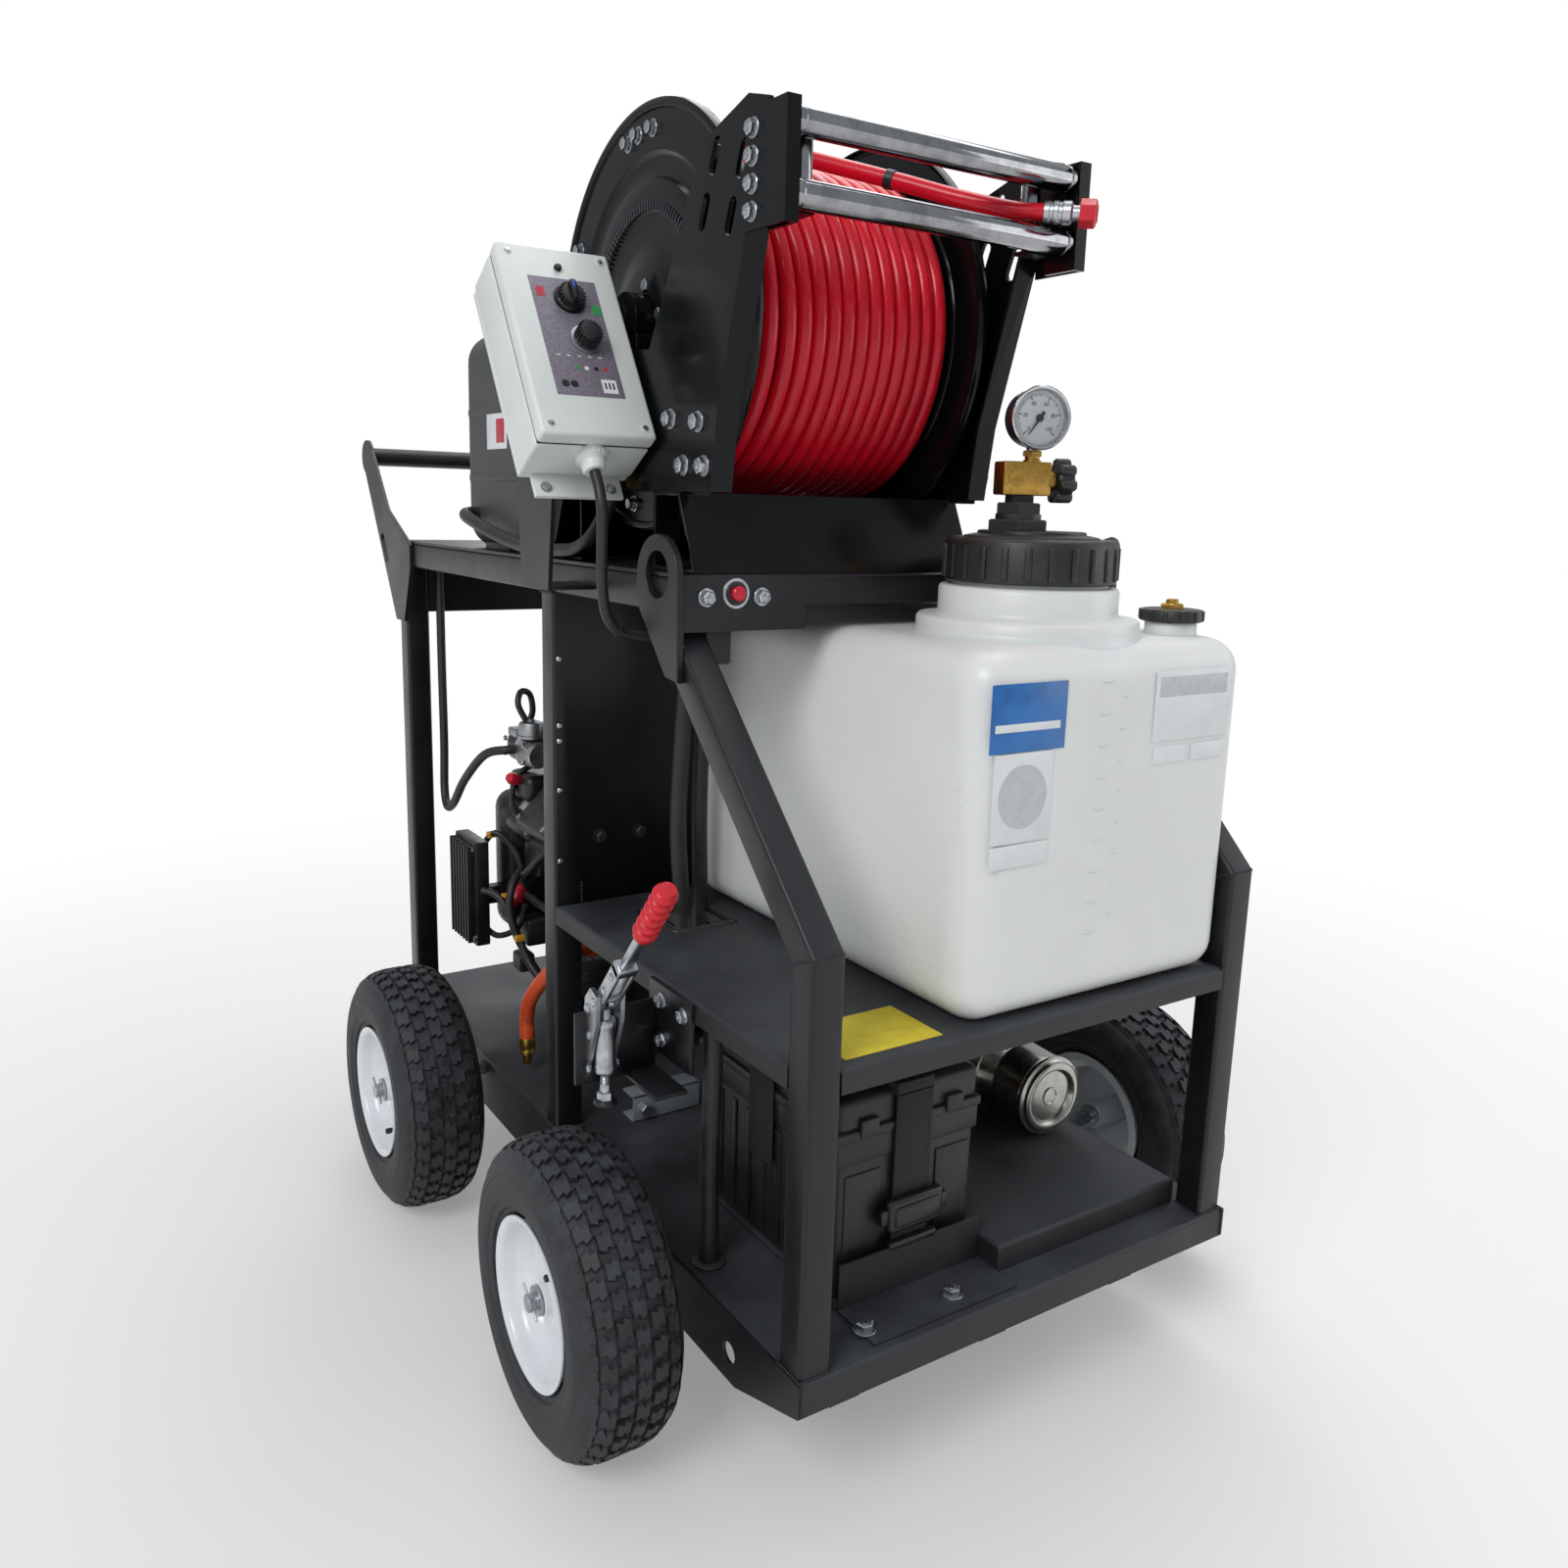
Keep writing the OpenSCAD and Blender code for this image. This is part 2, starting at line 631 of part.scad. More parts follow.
// Exhaust silencer along the right side, with its pipe
module muffler() {
  x = 214;
  z = rail_box_z + muffler_d / 2 + 5;
  y = 198;
  color("#b9b8b2") put() {
    ycyl(x, y, y + 6, z, muffler_d / 2 - 5);
    ycyl(x, y + 6, y + 14, z, muffler_d / 2 + 2);
    ycyl(x, y + 14, y + muffler_l - 8, z, muffler_d / 2);
    ycyl(x, y + muffler_l - 8, y + muffler_l, z, muffler_d / 2 + 2);
    ycyl(x, y + muffler_l, eng_y + 150, z + 8, 17);
    translate([x, eng_y + 150, z - 9]) cylinder(h = 60, r = 19);
    translate([eng_x + 120, eng_y + 135, z + 20]) cube([x - 16 - eng_x - 120, 30, 30]);
    translate([x - 26, y + 100, rail_box_z]) cube([52, 22, 14]);
  }
}

// Three-cylinder plunger pump on the bell housing
module pump() {
  y = eng_y - 96;
  head_y = batt_y + batt_l + 21;
  color("#2b2c2e") put() {
    translate([-110, 470, crank_z - 78]) rbox([200, y - 470 - gap, 150], 14);
    for (i = [-1 : 1]) ycyl(-10 + i * 52, head_y + 50, 472, crank_z - 10, 20);
  }
  color("#a8823c") put() {
    translate([-104, head_y, crank_z - 56]) rbox([188, 56, 104], 6);
    for (i = [-1 : 1]) {
      translate([-10 + i * 52, head_y + 28, crank_z + 48]) hex(32, 12);
      translate([-10 + i * 52, head_y, crank_z + 20]) rotate([90, 0, 0]) hex(32, 12);
    }
    xcyl(feed_x + 22, -103, head_y + 28, crank_z - 30, 16);
    translate([feed_x + 22, head_y + 28, crank_z - 48]) cylinder(h = 64, r = 16);
    translate([feed_x - 15, head_y + 28, crank_z - 10]) cube([43, 66, 34]);
    translate([feed_x, port_y, crank_z + 24]) cylinder(h = 34, r = 14);
    translate([back_x, port_y + 30, crank_z + 24]) cylinder(h = 34, r = 14);
    xcyl(back_x - 10, -109, port_y + 30, crank_z + 12, 13);
  }
}

// Grey fuel tank on the platform, behind the reel
module fuel_tank() {
  color("#3c3d3f") put() difference() {
    union() {
      translate([-300, 696, plat_top + gap]) rbox([330, 268, 300], 40);
      translate([-100, 830, plat_top + 300]) cylinder(h = 16, r = 44);
      for (x = [-300, 10]) translate([x, 786, plat_top]) cube([20, 90, 10]);
    }
    translate([-292, 704, plat_top + 8]) rbox([314, 252, 284], 32);
  }
}

// ---- Control box ----
// Frame of the tilted box: x across, y into it, z up its face
module on_box() {
  put() translate([box_x, box_y, box_z]) rotate([-box_tilt, 0, 0]) children();
}
function at_box(x, y, z) = [box_x + x, box_y + y * cos(box_tilt) + z * sin(box_tilt),
  box_z - y * sin(box_tilt) + z * cos(box_tilt)];
module control_box() {
  color("#dfe3e0") on_box() {
    difference() {
      rbox([box_w, box_d - 12, box_h], 3);
      translate([3, 3, 3]) cube([box_w - 6, box_d - 18, box_h - 6]);
    }
    translate([2, box_d - 12, 2]) cube([box_w - 4, 12, box_h - 4]);
    translate([14, box_d - 10, -26]) cube([box_w - 28, 6, 28]);
    translate([14, box_d - 10, box_h - 2]) cube([box_w - 28, 6, 22]);
    translate([box_w / 2, 34, -8]) cylinder(h = 8, r = 17);
    translate([box_w / 2, 34, -22]) cylinder(h = 14, r = 13);
  }
  color("#1d1e20") on_box() {
    translate([box_w / 2 - 20, box_d, 30]) cube([40, 5, box_h - 60]);
  }
  lo = at_box(0, box_d + 2, 50);
  hi = at_box(0, box_d + 2, 195);
  foot = plat_top - 30;
  color("#1d1e20") put() {
    yz(box_x + box_w / 2 - 10, 5) polygon([[lo[1], lo[2]], [hi[1], hi[2]], [hi[1] + 40, hi[2] - 20],
      [lo[1] + 100, foot], [lo[1] + 20, foot]]);
    translate([box_x + box_w / 2 - 7, lo[1] + 20, foot]) cube([-px - box_x - box_w / 2 + 7, 80, 5]);
  }
}
module dial(x, z, r, h, axis_r) {
  on_box() translate([x, -gap, z]) rotate([90, 0, 0]) {
    cylinder(h = 4, r = r + 2);
    cylinder(h = h, r = r);
    translate([-3, -r * 0.9, h]) cube([6, r * 1.8, 6]);
  }
}
module selector_knob() {
  color("#17181b") dial(70, 171, 14, 14, 4);
}
module throttle_knob() {
  color("#121315") dial(76, 119, 13, 20, 4);
}

// Red push button in the platform's flange
module stop_button() {
  color("#c8102e") put() {
    ycyl(-251, plat_front - 9, plat_front + sheet + 16, plat_top - 20, 8);
    ycyl(-251, plat_front + sheet + 16, plat_front + sheet + 18, plat_top - 20, 11);
  }
}

// ---- Hose reel ----
// Two formed channels that carry the arms
module reel_base() {
  x = reel_x0 - 5;
  w = reel_w + 10;
  t = 4;
  h = 84;
  end = 31;
  color("#15171b") put() for (m = [0, 1]) translate([0, m * 2 * shaft_y, 0]) mirror([0, m, 0]) {
    yz(x, w) polygon([[268, plat_top], [268 + t, plat_top], [306 + t, plat_top + h], [306, plat_top + h]]);
    translate([x, 270, plat_top]) cube([w, 92, t]);
    for (e = [x, x + w - end]) {
      translate([e, 306, plat_top + h - t]) cube([end, 56, t]);
      translate([e, 358, plat_top]) cube([end, t, h]);
    }
    if (m == 0) for (e = [reel_x0 + 5, reel_x1 - 5 - t])
      yz(e, t) polygon([[258, plat_top + h - t], [258, plat_top + h + 86], [345, plat_top + h + 86], [362, plat_top + h - t]]);
  }
}

// Formed side arm: web, front flange, bearing block on its ledge
module reel_arm(s) {
  z0 = plat_top + 84;
  t = 5;
  xw = s < 0 ? reel_x0 : reel_x1 - t;
  xf = s < 0 ? reel_x0 + t : reel_x1 - 26;
  ledge = shaft_z - 36;
  color("#17181b") put() difference() {
    union() {
      yz(xw, t) polygon([[248, z0], [236, z0 + 80], [182, z0 + 262], [156, z0 + 275], [152, z0 + 350],
        [188, z0 + 360], [272, z0 + 336], [384, z0 + 150], [400, ledge], [516, ledge], [560, z0 + 60], [640, z0]]);
      yz(xf, 21) polygon([[248, z0], [236, z0 + 80], [182, z0 + 262], [187, z0 + 262], [241, z0 + 80], [253, z0]]);
      translate([xf, 366, z0]) cube([21, 272, t]);
      yz(xf, 21) polygon([[272, z0 + 336], [384, z0 + 150], [380, z0 + 148], [268, z0 + 334]]);
      translate([xf, 410, ledge - 6]) cube([21, 96, 6]);
      xcyl(xf, xf + 21, shaft_y, shaft_z, 31);
      translate([xf, 424, ledge]) cube([21, 64, 20]);
    }
    xcyl(reel_x0 - 1, reel_x1 + 1, shaft_y, shaft_z, shaft_d / 2 + run);
    for (p = [[249, 318], [198, 306], [268, 270], [217, 258]])
      translate([reel_x0 - 1, p[0], z0 + p[1]]) rotate([22, 0, 0]) {
        translate([0, -7, -11]) cube([reel_w + 2, 14, 22]);
        for (z = [-11, 11]) translate([0, 0, z]) rotate([0, 90, 0]) cylinder(h = reel_w + 2, r = 7);
      }
  }
}
module reel_arm_left() { reel_arm(-1); }
module reel_arm_right() { reel_arm(1); }

// Discs with rolled rims and pressed steps, on one shaft with the swivel
module disc(x, s) {
  R = disc_d / 2;
  r = shaft_d / 2;
  put() translate([x, shaft_y, shaft_z]) rotate([0, s * 90, 0]) rotate_extrude($fn = 96) polygon([
    [r, 0], [r, 9], [60, 9], [84, 2], [118, 2], [124, 5], [150, 5], [156, -1], [176, -1], [180, 3], [R - 11, 3],
    [R - 11, 6], [R, 6], [R, -8], [R - 3, -8], [R - 3, 3.4], [R - 8, 3.4], [R - 8, 0], [182, 0], [178, -4],
    [154, -4], [148, 2], [126, 2], [120, -1], [82, -1], [58, 6], [r, 6]]);
}
module reel_drum() {
  color("#202226") {
    disc(disc_x0, -1);
    disc(disc_x1, 1);
    put() {
      xcyl(reel_x0 - 3, reel_x1 + 14, shaft_y, shaft_z, shaft_d / 2);
      xcyl(disc_x0 - 7, disc_x1 + 7, shaft_y, shaft_z, 60);
      difference() {
        xcyl(disc_x0 - 3, disc_x0 + 0.5, shaft_y, shaft_z, 100);
        xcyl(disc_x0 - 6, disc_x0 + 6, shaft_y, shaft_z, 82);
      }
    }
  }
}

// Outer layer of hose over a plain core
module hose_coil() {
  m = 24;
  n = loops * m;
  helix = [for (i = [0 : n]) [coil_x0 + coil_pitch * i / m,
    coil_r * cos(360 * i / m), coil_r * sin(360 * i / m)]];
  start = helix[0] - [0, 0, hose_d];
  end = helix[n] + [0, 0, hose_d];
  route = concat([start], helix, [end]);
  least = min([for (i = [0 : m / 2]) norm(helix[i + m] - helix[i])]) - hose_d;
  echo(least_self_gap = least);
  color("#c8202f") put() {
    translate([0, shaft_y, shaft_z]) sweep(route, hose_d / 2, 6, [1, 0, 0]);
    difference() {
      xcyl(coil_x0 - hose_d / 2, coil_x0 + coil_pitch * loops + hose_d / 2, shaft_y, shaft_z, coil_r - hose_d / 2 - 1);
      xcyl(reel_x0, reel_x1, shaft_y, shaft_z, 60.5);
    }
  }
}

// Free end of the hose, from the top of the winding out through the guide
hose_route = [[-176, 598, 1379], [-174, 557, 1411], [-170, 508, 1431], [-162, 456, 1438], [-150, 404, 1432],
  [-136, 370, 1420], [-100, 310, 1399], [-62, 250, 1378], [-26, 196, 1358], [10, 154, 1345], [34, 130, 1342]];
module hose_free() {
  color("#cf2031") put() sweep(smooth(hose_route, 3), hose_d / 2, 8, [0, 0, 1]);
  color("#b9bcc0") put() translate([34, 130, 1342]) rotate([0, 0, -47]) rotate([0, 93, 0]) {
    cylinder(h = 26, r = hose_d / 2 + 3);
    translate([0, 0, 26]) cylinder(h = 8, r = 8);
  }
  color("#d2182b") put() translate([34, 130, 1342]) rotate([0, 0, -47]) rotate([0, 93, 0])
    translate([0, 0, 34]) hex(25, 17);
}

// ---- Roller guide ----
module guide_frame() {
  t = 5;
  z0 = roll_z - 28;
  h = roller_gap + 44;
  color("#141517") put() difference() {
    union() {
      translate([roll_x0 - t, roll_y - 15, z0]) cube([t, 44, h]);
      translate([roll_x1, roll_y - 15, z0]) cube([t, 44, h]);
      translate([reel_x0 - 3, roll_y - 15, z0]) cube([3, 70, h]);
      translate([reel_x1, roll_y - 15, z0]) cube([3, 70, h]);
      translate([reel_x0 - 3, roll_y - 15, z0]) cube([roll_x0 - t - reel_x0 + 4, 4, h]);
      translate([roll_x1 + t - 1, roll_y - 15, z0]) cube([reel_x1 - roll_x1 - t + 4, 4, h]);
    }
    for (z = [roll_z, roll_z + roller_gap]) xcyl(roll_x0 - t - 1, roll_x1 + t + 1, roll_y, z, 5);
  }
  color("#aeb0b4") put() for (z = [roll_z, roll_z + roller_gap]) {
    xcyl(roll_x0 - t - 6, roll_x1 + t + 6, roll_y, z, 4.9);
    for (x = [roll_x0 - t - 6, roll_x1 + t]) translate([x, roll_y, z]) rotate([0, 90, 0]) hex(17, 6);
  }
  color("#141517") put() for (z = [roll_z - 12, roll_z + roller_gap + 8]) {
    translate([roll_x0, roll_y + 15, z]) cube([post_in + 8, 22, 4]);
    translate([roll_x1 - post_in - 8, roll_y + 15, z]) cube([post_in + 8, 22, 4]);
  }
  color("#aeb0b4") put() for (x = [roll_x0 + post_in, roll_x1 - post_in])
    translate([x, roll_y + 26, roll_z - 8]) cylinder(h = roller_gap + 16, r = 4);
}
module hroller(z) {
  color("#b6b7b8") put() difference() {
    xcyl(roll_x0 + gap, roll_x1 - gap, roll_y, z, roller_d / 2);
    xcyl(roll_x0 - 1, roll_x1 + 1, roll_y, z, 4.9 + run);
  }
}
module rollers_top() { hroller(roll_z + roller_gap); }
module rollers_bottom() { hroller(roll_z); }
module vroller(x) {
  color("#b6b7b8") put() difference() {
    translate([x, roll_y + 26, roll_z + 4]) cylinder(h = roller_gap - 8, r = 10);
    translate([x, roll_y + 26, roll_z]) cylinder(h = roller_gap, r = 4 + run);
  }
}
module roller_left() { vroller(roll_x0 + post_in); }
module roller_right() { vroller(roll_x1 - post_in); }

// ---- Parking brake: a plunger clamp that presses on the front left tyre ----
plunge = 36;
module brake_base() {
  color("#17181a") put() {
    difference() {
      translate([-px - 6, 222, shelf_top - 84]) cube([6, 96, 82]);
      for (p = [[236, -20], [286, -20], [236, -66], [286, -66]])
        xcyl(-px - 8, -px + 1, p[0], shelf_top + p[1], 4.2);
    }
    translate([clamp_x - 28, clamp_y + 16, clamp_z - 92]) cube([-px - 6 - clamp_x + 28, 6, 84]);
    translate([-px - 6 - 40, clamp_y - 60, clamp_z - 92]) cube([40, 76, 5]);
  }
  color("#b4b6b8") put() {
    difference() {
      union() {
        translate([clamp_x, clamp_y, clamp_z - 74]) cylinder(h = 62, r = 11);
        translate([clamp_x - 9, clamp_y, clamp_z - 74]) cube([18, 16, 62]);
        for (x = [-17, 12]) yz(clamp_x + x, 5) polygon([[clamp_y - 12, clamp_z - 12], [clamp_y + 16, clamp_z - 86],
          [clamp_y + 16, clamp_z + 10], [clamp_y + 2, clamp_z + 26], [clamp_y - 14, clamp_z + 20]]);
      }
      translate([clamp_x, clamp_y, clamp_z - 75]) cylinder(h = 64, r = 6 + run);
      xcyl(clamp_x - 20, clamp_x + 20, clamp_y - 6, clamp_z + 12, 4);
    }
  }
}
module brake_plunger() {
  color("#9fa1a4") put() translate([clamp_x, clamp_y, 0]) {
    translate([0, 0, axle_z * 2 + 54]) cylinder(h = clamp_z - axle_z * 2 - 54, r = 6);
    translate([0, 0, axle_z * 2 + 44]) hex(16, 10);
  }
  color("#2b2c2e") put() translate([clamp_x, clamp_y, axle_z * 2 + plunge + 2]) cylinder(h = 42 - plunge, r = 13);
}
// Lever: two ears on the pivot pin, a bar and the ribbed grip, 50 degrees up
module brake_lever() {
  l = 205;
  color("#b4b6b8") put() translate([clamp_x, clamp_y - 6, clamp_z + 12]) {
    xcyl(-19, 19, 0, 0, 4 - run);
    rotate([-40 + 80, 0, 0]) {
      for (x = [-11.5, 6.5]) translate([x, -9, -6]) cube([5, 18, 74]);
      translate([-11.5, -9, 60]) cube([23, 18, 10]);
      translate([-6, -5, 70]) cube([12, 10, l - 150]);
    }
  }
  color("#d81e2c") put() translate([clamp_x, clamp_y - 6, clamp_z + 12]) rotate([-40 + 80, 0, 0]) {
    translate([0, 0, l - 80]) cylinder(h = 82, r = 11);
    for (i = [0 : 5]) translate([0, 0, l - 72 + i * 13]) cylinder(h = 7, r = 13.5);
    translate([0, 0, l + 2]) cylinder(h = 4, r = 8);
  }
}

// ---- Hoses and cable that the machine holds all the way ----
// Each route leaves and arrives straight
function led(p, s) = let (n = len(p) - 1) concat([p[0]], smooth([for (i = [1 : n - 1]) p[i]], s), [p[n]]);
feed_route = [[feed_x, port_y, 450], [feed_x, port_y, 466], [feed_x - 4, 480, 540], [feed_x - 8, 484, 640],
  [feed_x - 2, 486, 750], [feed_x + 4, 484, 860], [feed_x + 4, 482, 950], [feed_x + 4, 482, plat_top - sheet - gap]];
back_route = [[back_x, 504, 450], [back_x, 504, 466], [back_x - 2, 500, 540], [back_x - 8, 494, 640],
  [back_x - 6, 494, 750], [back_x - 2, 492, 860], [back_x - 2, 490, 950], [back_x - 2, 490, plat_top - sheet - gap]];
drain_route = [[hole_x, 228, 160], [hole_x, 228, 220], [hole_x - 1, 229, 300], [hole_x, 228, 380],
  [hole_x + 2, 230, 440], [hole_x + 2, 232, 500], [hole_x + 2, 232, shelf_top - sheet - gap]];
cable_route = [at_box(box_w / 2, 34, -22 - gap), at_box(box_w / 2, 34, -40), [-364, 352, 1030],
  [-362, 356, 990], [-360, 360, 950], [-352, 364, 915], [-335, 366, 898], [-310, 366, 892], [-280, 364, 890],
  [-260, 356, 890], [-256, 348, 890], [-256, 340.3, 890]];
oil_route = [[-130.3, 812, 356], [-142, 812, 356], [-184, 800, 366], [-224, 756, 380], [-252, 728, 380],
  [-272, 740, 358], [-282, 772, 316], [-282, 788, 280], [-282, 788, 262], [-282, 788, 250]];
engine_route = [[-225.3, 965, 652], [-240, 965, 652], [-262, 1000, 640], [-274, 1060, 590], [-276, 1112, 540],
  [-274, 1150, 526], [-270, 1176, 552], [-266, 1184, 630], [-266, 1186, 760], [-266, 1186, 880], [-266, 1186, 950],
  [-266, 1186, plat_top - sheet - gap]];
swivel_route = [[-300.3, 900, 1016], [-312, 900, 1016], [-326, 882, 1014], [-330, 850, 1008], [-326, 808, 998],
  [-318, 760, 986], [-311, 700, 977], [-309, 640, 976], [-309, 590, 976], [-308, 545, 980], [-307, 505, 994],
  [-306, 474, 1016], [-306, 459, 1034], [-306, 455, 1046], [-306, 455, 1051.7]];
module hoses() {
  color("#141416") put() {
    sweep(led(feed_route, 2), 11, 8, [1, 0, 0]);
    sweep(led(back_route, 2), 11, 8, [1, 0, 0]);
    sweep(led(drain_route, 2), 11, 8, [1, 0, 0]);
    sweep(led(cable_route, 2), 6, 8, [1, 0, 0]);
    sweep(led(engine_route, 2), 7, 8, [0, 0, 1]);
    sweep(led(swivel_route, 2), 9, 8, [0, 0, 1]);
  }
  color("#e0562b") put() sweep(led(oil_route, 2), 11, 8, [0, 1, 0]);
  color("#b58a3c") put() {
    translate([-282, 788, 226]) cylinder(h = 24, r = 12);
    translate([-282, 788, 208]) cylinder(h = 18, r = 7);
    translate([-317, 444, 1052]) cube([24 - gap, 22, 28]);
  }
  color("#1b1c1e") put() {
    translate([-276, plat_front + sheet + 28, plat_top - 100]) cube([40, 46, 56]);
    translate([-268, plat_front + sheet + 28, plat_top - 46]) cube([24, 4, 42 - gap]);
  }
}

// Zinc bolts, each seated on what it holds
module bolt(p, r, af) {
  put() translate(p) rotate(r) {
    cylinder(h = 2, r = af * 0.72);
    translate([0, 0, 2]) hex(af, af * 0.55);
  }
}
module fasteners() {
  color("#b9bcc0") {
    for (x = [-213, -94]) bolt([x, 36, deck_top + 3], [0, 0, 0], 17);
    for (x = [-287, -219]) bolt([x, plat_front, plat_top - 24], [90, 0, 0], 14);
    for (p = [[332, 75], [273, 70], [303, 27], [260, 26]])
      bolt([reel_x0, p[0], plat_top + 84 + p[1]], [0, -90, 0], 15);
    for (p = [[332, 75], [273, 70], [303, 27], [260, 26]])
      bolt([reel_x1, p[0], plat_top + 84 + p[1]], [0, 90, 0], 15);
    for (z = [-12, 12, 36, 60]) {
      bolt([reel_x0 - 3, roll_y + 40, roll_z + z], [0, -90, 0], 13);
      bolt([reel_x1 + 3, roll_y + 40, roll_z + z], [0, 90, 0], 13);
    }
    for (p = [[236, -20], [286, -20], [286, -66]]) bolt([-px - 6, p[0], shelf_top + p[1]], [0, -90, 0], 13);
    for (x = [-252, -194]) bolt([x, mid_y, shelf_top + 88], [90, 0, 0], 14);
  }
}

deck();
deck_side_left();
deck_side_right();
leg_front_left();
leg_front_right();
mid_frame();
post_rear_left();
post_rear_right();
top_rail_left();
top_rail_right();
platform();
shelf();
eye_plate_left();
eye_plate_right();
push_handle();
axle_front();
axle_rear();
tyre_front_left();
tyre_front_right();
tyre_rear_left();
tyre_rear_right();
rim_front_left();
rim_front_right();
rim_rear_left();
rim_rear_right();
tank();
lid_ring();
lid_dome();
manifold();
valve_knob();
gauge();
gauge_needle();
vent_cap();
battery();
battery_tray();
engine();
engine_intake();
muffler();
pump();
fuel_tank();
control_box();
selector_knob();
throttle_knob();
stop_button();
reel_base();
reel_arm_left();
reel_arm_right();
reel_drum();
hose_coil();
hose_free();
guide_frame();
rollers_top();
rollers_bottom();
roller_left();
roller_right();
brake_base();
brake_plunger();
brake_lever();
hoses();
fasteners();
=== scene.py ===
import math
import random

import bmesh
import bpy
from mathutils import Matrix, Vector


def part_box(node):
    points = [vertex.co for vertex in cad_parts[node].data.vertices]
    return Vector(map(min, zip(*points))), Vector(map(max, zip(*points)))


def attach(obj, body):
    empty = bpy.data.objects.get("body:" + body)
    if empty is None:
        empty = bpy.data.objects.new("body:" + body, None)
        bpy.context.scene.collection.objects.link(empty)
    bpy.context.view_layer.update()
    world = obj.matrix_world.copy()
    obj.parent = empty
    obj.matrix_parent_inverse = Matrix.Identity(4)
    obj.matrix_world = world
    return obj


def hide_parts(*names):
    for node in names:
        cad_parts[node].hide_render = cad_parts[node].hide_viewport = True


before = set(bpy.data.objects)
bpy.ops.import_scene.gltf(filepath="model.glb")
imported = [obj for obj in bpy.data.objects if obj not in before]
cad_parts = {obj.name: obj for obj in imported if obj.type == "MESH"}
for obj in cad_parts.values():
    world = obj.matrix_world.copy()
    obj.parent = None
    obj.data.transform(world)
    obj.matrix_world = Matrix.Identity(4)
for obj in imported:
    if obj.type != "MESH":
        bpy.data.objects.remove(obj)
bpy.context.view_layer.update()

# ---- Camera and free hose ----
# The washer is seen from its front left. Its pressure hose is a red smooth-covered hose, 18 mm
# over the cover, that leaves the top of the winding and ends in a crimped steel fitting with a cap.
yaw, pitch, roll = (math.radians(a) for a in (33.25322, -11.41827, 1.55636))
focal_pixels, frame_pixels, sensor = 1291.196, 1600, 36
ahead = Vector((math.sin(yaw) * math.cos(pitch), math.cos(yaw) * math.cos(pitch), math.sin(pitch)))
right = Vector((math.cos(yaw), -math.sin(yaw), 0))
above = right.cross(ahead)
side = right * math.cos(roll) + above * math.sin(roll)
top = above * math.cos(roll) - right * math.sin(roll)
camera = bpy.data.objects.new("camera", bpy.data.cameras.new("camera"))
bpy.context.scene.collection.objects.link(camera)
turn = Matrix((side, top, -ahead)).transposed().to_4x4()
camera.matrix_world = Matrix.Translation((-0.9493, -1.6015, 1.0389)) @ turn
camera.data.sensor_width = sensor
camera.data.lens = sensor * focal_pixels / frame_pixels
camera.data.shift_x = 0.0042
camera.data.shift_y = -0.0149
bpy.context.scene.camera = camera
bpy.context.scene.view_settings.view_transform = "Standard"


X, Y, Z = (Vector(way) for way in ((1, 0, 0), (0, 1, 0), (0, 0, 1)))
half_length = 710


def drawn(x, y, z):
    """A point of the drawings, y from the deck's front edge, in millimetres from the middle."""
    return Vector((x, y - half_length, z))


def at(x, y, z):
    """The same point in metres."""
    return drawn(x, y, z) / 1000


def paint(code):
    """A colour from its hex code, as linear values."""
    parts = [int(code[i:i + 2], 16) / 255 for i in (0, 2, 4)]
    return [p / 12.92 if p < 0.04045 else ((p + 0.055) / 1.055) ** 2.4 for p in parts] + [1]


def wire(tree, kind, inputs=(), **settings):
    """A node with its settings and its inputs, which are values or sockets."""
    node = tree.nodes.new(kind)
    for key, value in settings.items():
        setattr(node, key, value)
    for key, value in dict(inputs).items():
        if isinstance(value, bpy.types.NodeSocket):
            tree.links.new(value, node.inputs[key])
        else:
            node.inputs[key].default_value = value
    return node


